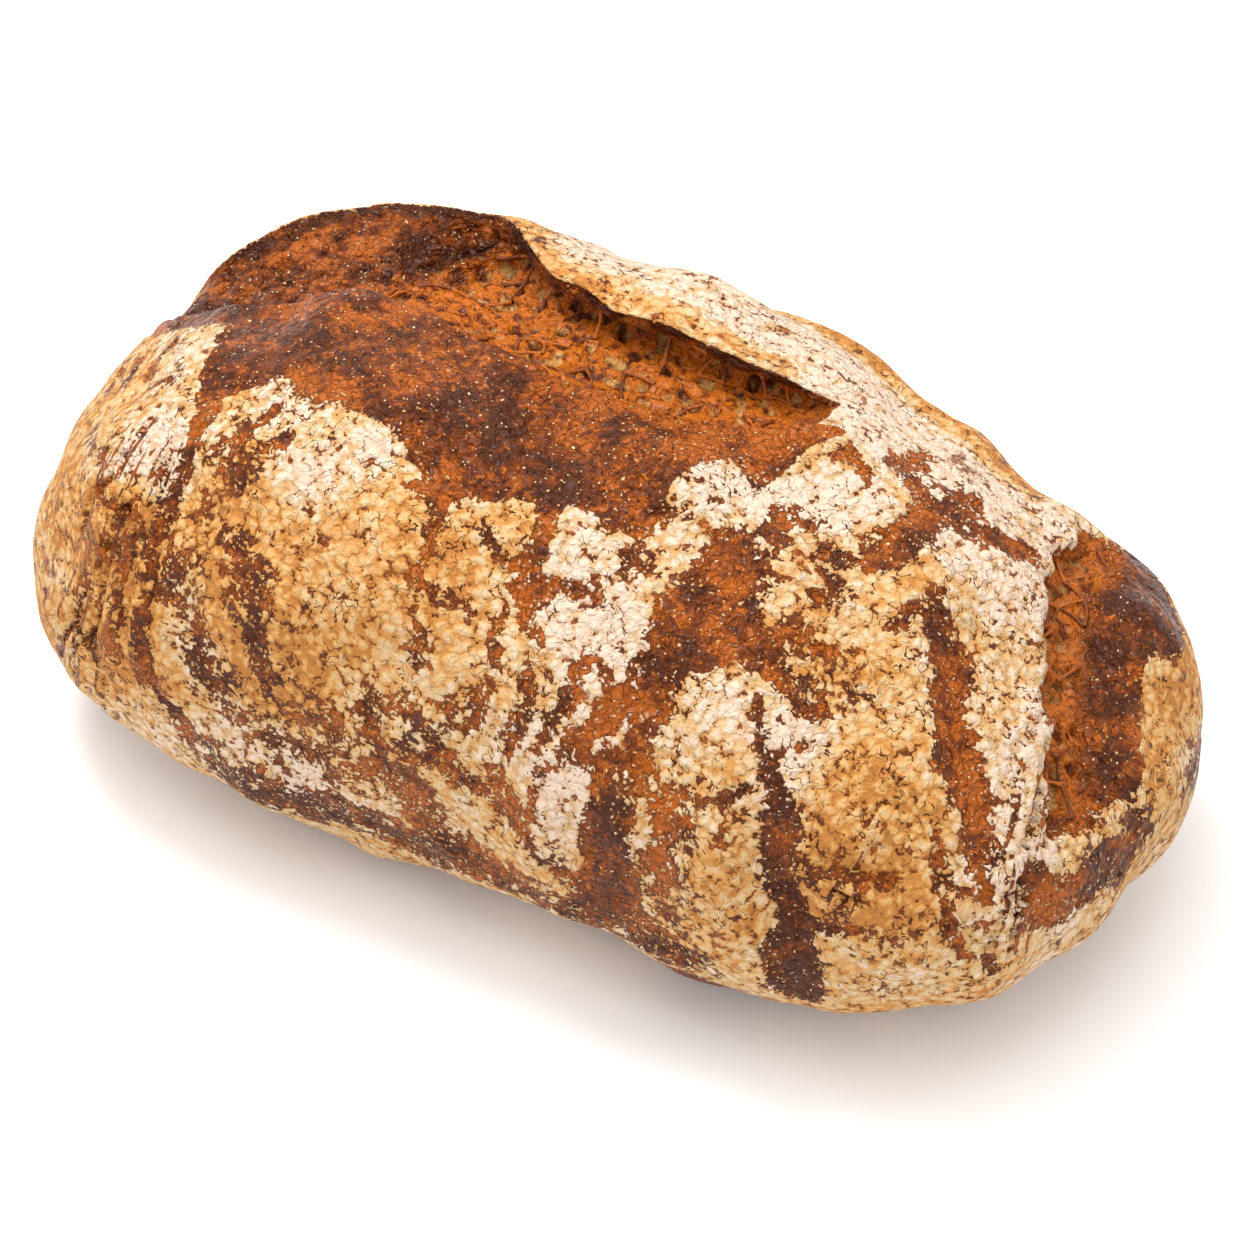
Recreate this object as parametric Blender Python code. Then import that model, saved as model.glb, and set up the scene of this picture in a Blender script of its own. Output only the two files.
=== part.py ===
"""A hand-shaped rye bread loaf, in metres, +Z up, +X along its length, -Y its front.

The loaf is one closed body that rests on a flat spot at Z = 0. Its place on the crust is
given by x, measured along the loaf, and by girth, an angle in degrees round the section
that is 0 at the top, positive down the front and negative down the back.
"""

import bpy
import numpy as np

# Smooth body: a superellipse in plan and in section
HALF_LENGTH = 0.140
END_FULLNESS = 2.45
GIRTH_FULLNESS = 2.45
WIDEST_HEIGHT = 0.042
BELLY_REACH = 0.048
FRONT_HALF_WIDTHS = ((-0.140, 0.118), (-0.070, 0.090), (0.0, 0.079), (0.070, 0.083), (0.140, 0.092))
BACK_HALF_WIDTHS = ((-0.140, 0.082), (-0.070, 0.075), (0.0, 0.080), (0.070, 0.072), (0.140, 0.086))
TOP_HEIGHTS = ((-0.140, 0.119), (-0.070, 0.122), (0.0, 0.114), (0.070, 0.106), (0.140, 0.088))

# Base: the belly rolls into a flat spot, which stands at Z = 0
BASE_ROLL = 0.0025
BASE_SINK = 0.0015
PLAN_CENTRE = (0.0, -0.0012)

# Main slash along the top: its near lip, the lip of the lifted ear, and what lies between
NEAR_LIP_GIRTHS = (
    (-0.125, 3), (-0.108, 2), (-0.086, 1), (-0.070, -1), (-0.039, 0), (-0.017, 0), (0.006, -2),
    (0.020, -4), (0.031, -6), (0.044, -13),
)
EAR_LIP_GIRTHS = (
    (-0.125, -14), (-0.113, -26), (-0.099, -34), (-0.078, -38), (-0.064, -37), (-0.051, -28),
    (-0.038, -19), (-0.027, -16), (0.003, -15), (0.027, -17), (0.044, -21),
)
SLASH_DEPTHS = (
    (-0.125, 0.005), (-0.100, 0.009), (-0.062, 0.013), (-0.030, 0.011), (0.010, 0.010),
    (0.030, 0.007), (0.044, 0.003),
)
EAR_UNDERCUTS = (
    (-0.066, 0.0), (-0.050, 0.005), (-0.030, 0.007), (0.010, 0.006), (0.030, 0.004), (0.044, 0.001),
)
EAR_LIFTS = (
    (-0.125, 0.0), (-0.114, 0.001), (-0.095, 0.0015), (-0.072, 0.003), (-0.055, 0.0015),
    (-0.040, 0.0), (-0.020, 0.0), (0.020, 0.001), (0.044, 0.0),
)
BLOOM_DROPS = ((-0.125, 0.001), (-0.090, 0.0025), (-0.040, 0.0035), (0.010, 0.003), (0.050, 0.0))
SLASH_START = (-0.134, -0.118)
SLASH_END = (0.028, 0.044)
EAR_LIFT_REACH = 0.022
BLOOM_REACH = 0.028

# Profiles across the open slash, from the near lip to the ear's lip: position as a share of
# the opening, as a share of the undercut, and depth as a share of the slash's depth. On the
# left the ear leans back in one slanted face, and further right it overhangs.
SLASH_PROFILE = (
    (0.00, 0.0, 0.00), (0.10, 0.0, 0.40), (0.26, 0.0, 0.74), (0.52, 0.0, 1.00), (0.80, 0.15, 1.00),
    (1.00, 0.80, 0.86), (1.00, 1.10, 0.62), (1.00, 0.80, 0.42), (1.00, 0.30, 0.31), (1.00, 0.0, 0.0),
)
SLANTED_PROFILE = (
    (0.00, 0.0, 0.00), (0.04, 0.0, 0.45), (0.09, 0.0, 0.80), (0.16, 0.0, 0.98), (0.30, 0.0, 1.00),
    (0.46, 0.0, 0.92), (0.62, 0.0, 0.78), (0.78, 0.0, 0.58), (0.92, 0.0, 0.34), (1.00, 0.0, 0.0),
)
SLANT_END = (-0.082, -0.052)
EAR_RIM_SHARES = (0.55, 0.85)
BLOOM_DROP_SHARE = 0.5
WANDER_GIRTH = -15.0

# Broad swells and dents of the hand-shaped dough: x, girth, radius, height
SWELLS = (
    (0.118, -72, 0.026, 0.0042),
    (0.137, -114, 0.026, 0.0012),
    (0.135, 136, 0.026, -0.0022),
    (0.080, -54, 0.026, -0.0014),
    (0.047, -52, 0.026, -0.0020),
    (0.019, -51, 0.026, 0.0014),
    (-0.004, -36, 0.026, 0.0012),
    (-0.039, -50, 0.026, -0.0009),
    (-0.068, -38, 0.026, -0.0009),
    (-0.128, -2, 0.020, -0.0016),
    (-0.134, 49, 0.026, 0.0009),
    (-0.124, 92, 0.026, 0.0020),
    (-0.042, 121, 0.026, 0.0018),
    (-0.010, 112, 0.026, -0.0028),
    (0.074, 84, 0.034, 0.0012),
    (0.085, 118, 0.022, -0.0024),
    (0.040, 114, 0.028, -0.0018),
)

# Lines on the crust as (x, girth) points, each with its half width and its depth
END_SLASH_LIP = (
    (0.092, -52), (0.096, -38), (0.097, -24), (0.101, -11), (0.107, 0), (0.115, 9), (0.122, 24),
    (0.129, 40),
)
END_SLASH_MIDDLE = 0.108
END_SLASH_BLEND = (0.045, 0.139)
END_SLASH_DEPTH = 0.0045
END_SLASH_EDGE = 0.0036
END_SLASH_FLOOR = 0.010
END_SLASH_WIDTH = 0.026
END_SLASH_FADE = 0.18
LEAN_GIRTH = 110
FURROWS = (
    (((0.086, 3), (0.097, 14), (0.106, 26), (0.114, 36)), 0.0050, 0.0022),
    (((0.024, 20), (0.034, 31), (0.041, 44), (0.047, 62), (0.052, 84), (0.052, 100)), 0.0070, 0.0024),
    (((0.068, 50), (0.074, 66), (0.080, 82), (0.084, 98)), 0.0055, 0.0024),
    (((0.080, 62), (0.092, 60), (0.104, 57)), 0.0030, 0.0016),
    (((0.109, 46), (0.112, 62), (0.118, 80)), 0.0030, 0.0018),
)
FOLD_LINES = (
    ((-0.100, 56), (-0.101, 68), (-0.106, 82), (-0.110, 92)),
    ((-0.094, 50), (-0.095, 62), (-0.096, 76), (-0.096, 90)),
    ((-0.088, 38), (-0.089, 56), (-0.088, 72), (-0.085, 90)),
    ((-0.080, 30), (-0.083, 48), (-0.082, 66), (-0.076, 88)),
)
FOLD_HALF_WIDTH = 0.0022
FOLD_DEPTH = 0.0022
FURROW_TAPER = 0.5
BACK_RIDGES = (
    (((-0.006, -50), (0.014, -50), (0.034, -52), (0.056, -50), (0.074, -46)), 0.0036, 0.0024),
    (((0.020, -57), (0.040, -59), (0.060, -57), (0.080, -51)), 0.0034, 0.0020),
)

# Fine unevenness of the dough
LUMP_SEED = 7
LUMP_WAVES = 40
LUMP_LENGTH = 0.034
LUMP_HEIGHT = 0.0009
LUMP_SPREAD = (0.6, 1.4)
LIP_WAVE_LENGTH = 0.016
LIP_WAVE_WIDTH = 0.0007

# Mesh
RINGS = 60
SLASH_CELLS = 18
OUTER_CELLS = 62
OUTER_SPACING = (0.75, 1.15, 1.25, 1.0, 0.75)
TURN_STEPS = 721
LINE_STEPS = 24
NUDGE = 1e-6

CRUST_COLOUR = (0.42, 0.21, 0.08, 1.0)
CRUST_ROUGHNESS = 0.8


def step(low, high, value):
    """Smooth rise from 0 at low to 1 at high."""
    f = np.clip((value - low) / (high - low), 0.0, 1.0)
    return f * f * (3 - 2 * f)


def bell(distance):
    """1 at a distance of 0, and 0 from a distance of 1 on."""
    return 1 - step(0.0, 1.0, np.abs(distance))


def along(pairs, x):
    """Smooth curve through (x, value) pairs, level before the first and after the last."""
    knots, values = np.array(pairs, float).T
    slopes = np.gradient(values, knots)
    x = np.clip(x, knots[0], knots[-1])
    i = np.clip(np.searchsorted(knots, x, side="right") - 1, 0, len(knots) - 2)
    gap = knots[i + 1] - knots[i]
    f = (x - knots[i]) / gap
    start = (1 + 2 * f) * (1 - f) ** 2 * values[i] + f * (1 - f) ** 2 * gap * slopes[i]
    end = f * f * (3 - 2 * f) * values[i + 1] + f * f * (f - 1) * gap * slopes[i + 1]
    return start + end


def power(value, exponent):
    return np.sign(value) * np.abs(value) ** exponent


def body(x, girth):
    """Points of the smooth loaf at x and girth, before its base is flattened."""
    taper = (1 - np.abs(x / HALF_LENGTH) ** END_FULLNESS) ** (1 / END_FULLNESS)
    across = power(np.sin(np.radians(girth)), 2 / GIRTH_FULLNESS)
    rise = power(np.cos(np.radians(girth)), 2 / GIRTH_FULLNESS)
    half_width = np.where(across > 0, along(FRONT_HALF_WIDTHS, x), along(BACK_HALF_WIDTHS, x))
    reach = np.where(rise > 0, along(TOP_HEIGHTS, x) - WIDEST_HEIGHT, BELLY_REACH)
    y = -across * half_width * taper
    z = WIDEST_HEIGHT + rise * reach * taper
    return np.stack(np.broadcast_arrays(x, y, z), axis=-1)


def level(points):
    """1 on the smooth loaf, less inside it and more outside."""
    x, y, z = np.moveaxis(points, -1, 0)
    half_width = np.where(y < 0, along(FRONT_HALF_WIDTHS, x), along(BACK_HALF_WIDTHS, x))
    reach = np.where(z > WIDEST_HEIGHT, along(TOP_HEIGHTS, x) - WIDEST_HEIGHT, BELLY_REACH)
    section = np.abs(y / half_width) ** GIRTH_FULLNESS + np.abs((z - WIDEST_HEIGHT) / reach) ** GIRTH_FULLNESS
    return np.abs(x / HALF_LENGTH) ** END_FULLNESS + section ** (END_FULLNESS / GIRTH_FULLNESS)


def outward(points):
    """Unit normals of the smooth loaf."""
    nudges = np.eye(3) * NUDGE
    slope = np.stack([level(points + nudge) - level(points - nudge) for nudge in nudges], axis=-1)
    return slope / np.linalg.norm(slope, axis=-1, keepdims=True)


def settle(points):
    """Rolls the belly into the flat base spot and centres the loaf on the origin."""
    height = BASE_ROLL * np.logaddexp(0.0, points[..., 2] / BASE_ROLL) - BASE_SINK
    centre = np.array(PLAN_CENTRE)
    return np.concatenate([points[..., :2] - centre, np.maximum(height, 0.0)[..., None]], axis=-1)


def waves(points, length, seed):
    """Even random waves of about unit height and the given wave length."""
    draw = np.random.default_rng(seed)
    directions = draw.normal(size=(LUMP_WAVES, 3))
    directions *= 2 * np.pi / length / np.linalg.norm(directions, axis=1, keepdims=True)
    directions *= draw.uniform(*LUMP_SPREAD, (LUMP_WAVES, 1))
    phases = draw.uniform(0.0, 2 * np.pi, LUMP_WAVES)
    return np.cos(points @ directions.T + phases).sum(axis=-1) / np.sqrt(LUMP_WAVES / 2)


def slash_layout(x):
    """Of a section: girths of both lips, depth, undercut, slant, ear lift, bloom drop, openness."""
    wander = LIP_WAVE_WIDTH * waves(body(x, WANDER_GIRTH), LIP_WAVE_LENGTH, LUMP_SEED)
    per_metre = 180 / np.pi / (along(TOP_HEIGHTS, x) - WIDEST_HEIGHT)
    return (
        along(NEAR_LIP_GIRTHS, x),
        along(EAR_LIP_GIRTHS, x) + wander * per_metre,
        along(SLASH_DEPTHS, x),
        along(EAR_UNDERCUTS, x),
        1 - step(*SLANT_END, x),
        along(EAR_LIFTS, x),
        along(BLOOM_DROPS, x),
        step(*SLASH_START, x) * (1 - step(*SLASH_END, x)),
    )


def slash_section(f, width, depth, undercut, slant, drop):
    """Positions from the near lip towards the ear, and depths, across the open slash."""
    profile = np.array(SLASH_PROFILE) * (1 - slant) + np.array(SLANTED_PROFILE) * slant
    marks = np.linspace(0.0, 1.0, len(profile))
    share, hidden, sunk = (along(np.stack([marks, row], axis=1), f) for row in profile.T)
    return width * share + undercut * hidden, drop * bell(f / BLOOM_DROP_SHARE) + depth * sunk


def outer_spacing(cells):
    """Positions from 0 to 1 with the outer spacing, from the ear's lip round to the near lip."""
    f = np.linspace(0.0, 1.0, cells)
    marks = np.linspace(0.0, 1.0, len(OUTER_SPACING))
    steps = along(np.stack([marks, OUTER_SPACING], axis=1), (f[1:] + f[:-1]) / 2)
    return np.concatenate([[0.0], np.cumsum(steps)]) / steps.sum()


def leaning(x, girth):
    """Where the ring of x lies at each girth: rings near the right end lean along its slash."""
    low, high = END_SLASH_BLEND
    blend = step(low, END_SLASH_MIDDLE, x) * np.clip((high - x) / (high - END_SLASH_MIDDLE), 0.0, 1.0)
    slash_x, slash_girth = np.array(END_SLASH_LIP).T
    marks = [
        (-LEAN_GIRTH, END_SLASH_MIDDLE),
        *zip(slash_girth, slash_x),
        (LEAN_GIRTH, END_SLASH_MIDDLE),
    ]
    return x + blend * (along(marks, (girth + 180) % 360 - 180) - END_SLASH_MIDDLE)


def ring(x):
    """Points on the smooth loaf round the section at x, with each one's height over it."""
    near, ear, depth, undercut, slant, lift, drop, openness = slash_layout(x)
    girths = near - np.linspace(0.0, 360.0, TURN_STEPS)
    chords = np.linalg.norm(np.diff(body(leaning(x, girths), girths), axis=0), axis=1)
    reach = np.concatenate([[0.0], np.cumsum(chords)])
    width = np.interp(near - ear, near - girths, reach)

    f = np.linspace(0.0, 1.0, SLASH_CELLS + 1)[:-1]
    across, sunk = slash_section(f, width, depth, undercut, slant, drop)
    slash = width * f + openness * (across - width * f)
    slash_height = openness * (lift * step(*EAR_RIM_SHARES, f) - sunk)

    outer = width + (reach[-1] - width) * outer_spacing(OUTER_CELLS + 1)[:-1]
    ear_height = lift * bell((outer - width) / EAR_LIFT_REACH)
    bloom_height = -drop * bell((reach[-1] - outer) / BLOOM_REACH)
    outer_height = openness * (ear_height + bloom_height)

    girth = np.interp(np.concatenate([slash, outer]), reach, girths)
    return body(leaning(x, girth), girth), np.concatenate([slash_height, outer_height])


def line_on_crust(marks):
    """Smooth line on the loaf through (x, girth) marks."""
    x, girth = np.array(marks, float).T
    f = np.linspace(0.0, 1.0, LINE_STEPS)
    knots = np.linspace(0.0, 1.0, len(marks))
    return body(*(along(np.stack([knots, row], axis=1), f) for row in (x, girth)))


def line_distance(points, line):
    """Distance of each point from the line, its side (+ where x is larger), and its share along it."""
    best = np.full(len(points), np.inf)
    side = np.zeros(len(points))
    share = np.zeros(len(points))
    for i, (start, end) in enumerate(zip(line[:-1], line[1:])):
        run = end - start
        f = np.clip((points - start) @ run / (run @ run), 0.0, 1.0)
        away = points - start - f[:, None] * run
        distance = np.linalg.norm(away, axis=1)
        nearer = distance < best
        best = np.where(nearer, distance, best)
        right = np.cross(run, outward(start[None])[0])
        side = np.where(nearer, np.sign(away @ right) * np.sign(right[0]), side)
        share = np.where(nearer, (i + f) / (len(line) - 1), share)
    return best, side, share


def swell_height(points):
    total = np.zeros(len(points))
    for x, girth, radius, height in SWELLS:
        distance = np.linalg.norm(points - body(x, girth), axis=1)
        total += height * np.exp(-((distance / radius) ** 2))
    return total


def end_slash_height(points):
    """The slash across the right end: a steep lip, a floor and a long rise to the crust."""
    distance, side, share = line_distance(points, line_on_crust(END_SLASH_LIP))
    across = distance * side
    drop = step(-END_SLASH_EDGE / 2, END_SLASH_EDGE / 2, across)
    rise = 1 - step(END_SLASH_FLOOR, END_SLASH_WIDTH, across)
    ends = step(0.0, END_SLASH_FADE, share) * (1 - step(1 - END_SLASH_FADE, 1.0, share))
    return -END_SLASH_DEPTH * drop * rise * ends


def furrow_height(points):
    """Furrows and folds pressed into the crust, and the torn ridges that stand on its back."""
    lines = [(marks, width, -depth) for marks, width, depth in FURROWS]
    lines += [(marks, FOLD_HALF_WIDTH, -FOLD_DEPTH) for marks in FOLD_LINES]
    lines += [(marks, width, height) for marks, width, height in BACK_RIDGES]
    total = np.zeros(len(points))
    for marks, width, height in lines:
        distance, _, share = line_distance(points, line_on_crust(marks))
        total += height * np.exp(-((distance / width) ** 2)) * bell(share * 2 - 1) ** FURROW_TAPER
    return total


def relief(points):
    lumps = LUMP_HEIGHT * waves(points, LUMP_LENGTH, LUMP_SEED + 1)
    return lumps + swell_height(points) + end_slash_height(points) + furrow_height(points)


def crust_points():
    """Both tips and every ring of the loaf, as final points."""
    turns = np.linspace(-np.pi / 2, np.pi / 2, RINGS + 2)[1:-1]
    rings = [ring(x) for x in HALF_LENGTH * np.sin(turns)]
    tips = body(np.array([-HALF_LENGTH, HALF_LENGTH]), np.zeros(2))
    smooth = np.concatenate([tips] + [points for points, _ in rings])
    heights = np.concatenate([np.zeros(2)] + [height for _, height in rings])
    return settle(smooth + outward(smooth) * (heights + relief(smooth))[:, None])


def crust_faces():
    """Fans at the two tips, and quads between the rings."""
    cells = SLASH_CELLS + OUTER_CELLS
    left, right = 0, 1
    faces = []
    for j in range(cells):
        k = (j + 1) % cells
        last = 2 + (RINGS - 1) * cells
        faces.append((left, 2 + j, 2 + k))
        faces.append((right, last + k, last + j))
        for i in range(RINGS - 1):
            row = 2 + i * cells
            faces.append((row + j, row + cells + j, row + cells + k, row + k))
    return faces


def crust_material():
    material = bpy.data.materials.new("rye_crust")
    material.use_nodes = True
    shader = material.node_tree.nodes["Principled BSDF"]
    shader.inputs["Base Color"].default_value = CRUST_COLOUR
    shader.inputs["Roughness"].default_value = CRUST_ROUGHNESS
    shader.inputs["Metallic"].default_value = 0.0
    return material


def make_loaf():
    mesh = bpy.data.meshes.new("rye_loaf")
    mesh.from_pydata(crust_points().tolist(), [], crust_faces())
    mesh.shade_smooth()
    mesh.materials.append(crust_material())
    loaf = bpy.data.objects.new("rye_loaf", mesh)
    bpy.context.scene.collection.objects.link(loaf)
    return loaf


for old in list(bpy.data.objects):
    bpy.data.objects.remove(old)
make_loaf()
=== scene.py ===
import bpy
import numpy as np
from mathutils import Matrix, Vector


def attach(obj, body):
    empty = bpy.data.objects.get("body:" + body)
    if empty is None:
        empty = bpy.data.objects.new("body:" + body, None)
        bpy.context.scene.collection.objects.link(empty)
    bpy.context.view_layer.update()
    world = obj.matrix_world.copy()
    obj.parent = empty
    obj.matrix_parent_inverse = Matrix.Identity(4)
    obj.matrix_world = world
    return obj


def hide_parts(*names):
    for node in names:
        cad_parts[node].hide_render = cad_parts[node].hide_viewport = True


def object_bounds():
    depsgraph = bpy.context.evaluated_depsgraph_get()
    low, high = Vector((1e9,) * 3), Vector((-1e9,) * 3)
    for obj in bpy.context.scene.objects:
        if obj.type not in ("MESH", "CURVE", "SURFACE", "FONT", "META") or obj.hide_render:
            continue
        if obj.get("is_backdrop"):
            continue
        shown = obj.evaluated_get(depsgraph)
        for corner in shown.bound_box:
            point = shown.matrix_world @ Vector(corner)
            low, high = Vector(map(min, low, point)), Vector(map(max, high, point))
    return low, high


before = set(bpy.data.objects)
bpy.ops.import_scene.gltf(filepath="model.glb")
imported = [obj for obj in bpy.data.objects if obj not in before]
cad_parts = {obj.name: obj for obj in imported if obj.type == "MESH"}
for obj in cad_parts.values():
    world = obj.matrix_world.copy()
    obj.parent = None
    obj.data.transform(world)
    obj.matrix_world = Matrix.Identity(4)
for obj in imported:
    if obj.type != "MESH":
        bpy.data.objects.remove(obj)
CAD_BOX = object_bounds()
MM = 0.001

# The loaf's form, in metres, as in its solid: x runs along the loaf and girth, in degrees, round
# its section, 0 at the top, positive down the front and negative down the back.
HALF_LENGTH = 0.140
END_FULLNESS = 2.45
GIRTH_FULLNESS = 2.45
WIDEST_HEIGHT = 0.042
BELLY_REACH = 0.048
FRONT_HALF_WIDTHS = ((-0.140, 0.118), (-0.070, 0.090), (0.0, 0.079), (0.070, 0.083), (0.140, 0.092))
BACK_HALF_WIDTHS = ((-0.140, 0.082), (-0.070, 0.075), (0.0, 0.080), (0.070, 0.072), (0.140, 0.086))
TOP_HEIGHTS = ((-0.140, 0.119), (-0.070, 0.122), (0.0, 0.114), (0.070, 0.106), (0.140, 0.088))
BASE_ROLL = 0.0025
BASE_SINK = 0.0015
PLAN_CENTRE = (0.0, -0.0012)

NEAR_LIP_GIRTHS = (
    (-0.125, 3), (-0.108, 2), (-0.086, 1), (-0.070, -1), (-0.039, 0), (-0.017, 0), (0.006, -2),
    (0.020, -4), (0.031, -6), (0.044, -13),
)
EAR_LIP_GIRTHS = (
    (-0.125, -14), (-0.113, -26), (-0.099, -34), (-0.078, -38), (-0.064, -37), (-0.051, -28),
    (-0.038, -19), (-0.027, -16), (0.003, -15), (0.027, -17), (0.044, -21),
)
SLASH_DEPTHS = (
    (-0.125, 0.005), (-0.100, 0.009), (-0.062, 0.013), (-0.030, 0.011), (0.010, 0.010),
    (0.030, 0.007), (0.044, 0.003),
)
EAR_UNDERCUTS = (
    (-0.066, 0.0), (-0.050, 0.005), (-0.030, 0.007), (0.010, 0.006), (0.030, 0.004), (0.044, 0.001),
)
EAR_LIFTS = (
    (-0.125, 0.0), (-0.114, 0.001), (-0.095, 0.0015), (-0.072, 0.003), (-0.055, 0.0015),
    (-0.040, 0.0), (-0.020, 0.0), (0.020, 0.001), (0.044, 0.0),
)
BLOOM_DROPS = ((-0.125, 0.001), (-0.090, 0.0025), (-0.040, 0.0035), (0.010, 0.003), (0.050, 0.0))
SLASH_START = (-0.134, -0.118)
SLASH_END = (0.028, 0.044)
EAR_LIFT_REACH = 0.022
BLOOM_REACH = 0.028
SLASH_PROFILE = (
    (0.00, 0.0, 0.00), (0.10, 0.0, 0.40), (0.26, 0.0, 0.74), (0.52, 0.0, 1.00), (0.80, 0.15, 1.00),
    (1.00, 0.80, 0.86), (1.00, 1.10, 0.62), (1.00, 0.60, 0.44), (1.00, 0.05, 0.33), (1.00, 0.0, 0.0),
)
SLANTED_PROFILE = (
    (0.00, 0.0, 0.00), (0.04, 0.0, 0.45), (0.09, 0.0, 0.80), (0.16, 0.0, 0.98), (0.30, 0.0, 1.00),
    (0.46, 0.0, 0.92), (0.62, 0.0, 0.78), (0.78, 0.0, 0.58), (0.92, 0.0, 0.34), (1.00, 0.0, 0.0),
)
SLANT_END = (-0.082, -0.052)
EAR_RIM_SHARES = (0.55, 0.85)
BLOOM_DROP_SHARE = 0.5
WANDER_GIRTH = -15.0

SWELLS = (
    (0.118, -72, 0.026, 0.0042),
    (0.137, -114, 0.026, 0.0012),
    (0.135, 136, 0.026, -0.0022),
    (0.080, -54, 0.026, -0.0014),
    (0.047, -52, 0.026, -0.0020),
    (0.019, -51, 0.026, 0.0014),
    (-0.004, -36, 0.026, 0.0012),
    (-0.039, -50, 0.026, -0.0009),
    (-0.068, -38, 0.026, -0.0009),
    (-0.128, -2, 0.020, -0.0016),
    (-0.134, 49, 0.026, 0.0009),
    (-0.124, 92, 0.026, 0.0020),
    (-0.042, 121, 0.026, 0.0018),
    (-0.010, 112, 0.026, -0.0028),
    (0.074, 84, 0.034, 0.0012),
    (0.085, 118, 0.022, -0.0024),
    (0.040, 114, 0.028, -0.0018),
)

END_SLASH_LIP = (
    (0.092, -52), (0.096, -38), (0.097, -24), (0.101, -11), (0.107, 0), (0.115, 9), (0.122, 24),
    (0.129, 40),
)
END_SLASH_MIDDLE = 0.108
END_SLASH_BLEND = (0.045, 0.139)
END_SLASH_DEPTH = 0.0045
END_SLASH_EDGE = 0.0036
END_SLASH_FLOOR = 0.010
END_SLASH_WIDTH = 0.026
END_SLASH_FADE = 0.18
LEAN_GIRTH = 110
FURROWS = (
    (((0.086, 3), (0.097, 14), (0.106, 26), (0.114, 36)), 0.0050, 0.0022),
    (((0.024, 20), (0.034, 31), (0.041, 44), (0.047, 62), (0.052, 84), (0.052, 100)), 0.0070, 0.0024),
    (((0.068, 50), (0.074, 66), (0.080, 82), (0.084, 98)), 0.0055, 0.0024),
    (((0.080, 62), (0.092, 60), (0.104, 57)), 0.0030, 0.0016),
    (((0.109, 46), (0.112, 62), (0.118, 80)), 0.0030, 0.0018),
)
FOLD_LINES = (
    ((-0.100, 56), (-0.101, 68), (-0.106, 82), (-0.110, 92)),
    ((-0.094, 50), (-0.095, 62), (-0.096, 76), (-0.096, 90)),
    ((-0.088, 38), (-0.089, 56), (-0.088, 72), (-0.085, 90)),
    ((-0.080, 30), (-0.083, 48), (-0.082, 66), (-0.076, 88)),
)
FOLD_HALF_WIDTH = 0.0022
FOLD_DEPTH = 0.0022
FURROW_TAPER = 0.5
BACK_RIDGES = (
    (((-0.006, -50), (0.014, -50), (0.034, -52), (0.056, -50), (0.074, -46)), 0.0036, 0.0024),
    (((0.020, -57), (0.040, -59), (0.060, -57), (0.080, -51)), 0.0034, 0.0020),
)
LUMP_SEED = 7
LUMP_WAVES = 40
LUMP_LENGTH = 0.034
LUMP_HEIGHT = 0.0009
LUMP_SPREAD = (0.6, 1.4)
LIP_WAVE_LENGTH = 0.016
LIP_WAVE_WIDTH = 0.0004
TURN_STEPS = 721
LINE_STEPS = 24
NUDGE = 1e-6

# Mesh of the baked surface: spacing along the loaf and round it, and its share per side
RING_SPACING = 0.00120
COLUMN_SPACING = 0.00107
SLASH_SPACING = 0.00078
OUTER_SPACING = (0.85, 1.6, 2.2, 1.25, 0.8, 0.8)
RING_GIRTH = 60

# Flour on the crust, in mm and degrees. BLOOM_EDGE is where the flour starts in front of the bloom.
BLOOM_EDGE = (
    (-124, 7), (-110, 7), (-100, 8), (-96, 14), (-93, 21), (-90, 25), (-86, 24), (-82, 21), (-76, 19),
    (-70, 18), (-64, 20), (-58, 20), (-50, 19), (-42, 20), (-36, 22), (-30, 25), (-25, 28), (-22, 31),
    (-19, 27), (-10, 24.5), (-3, 21.5), (2, 20), (10, 18.3), (17, 17.5), (20, 11), (23, 4), (27, 1),
    (38, 0), (41, -5), (45, -12), (56, -70),
)
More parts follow.
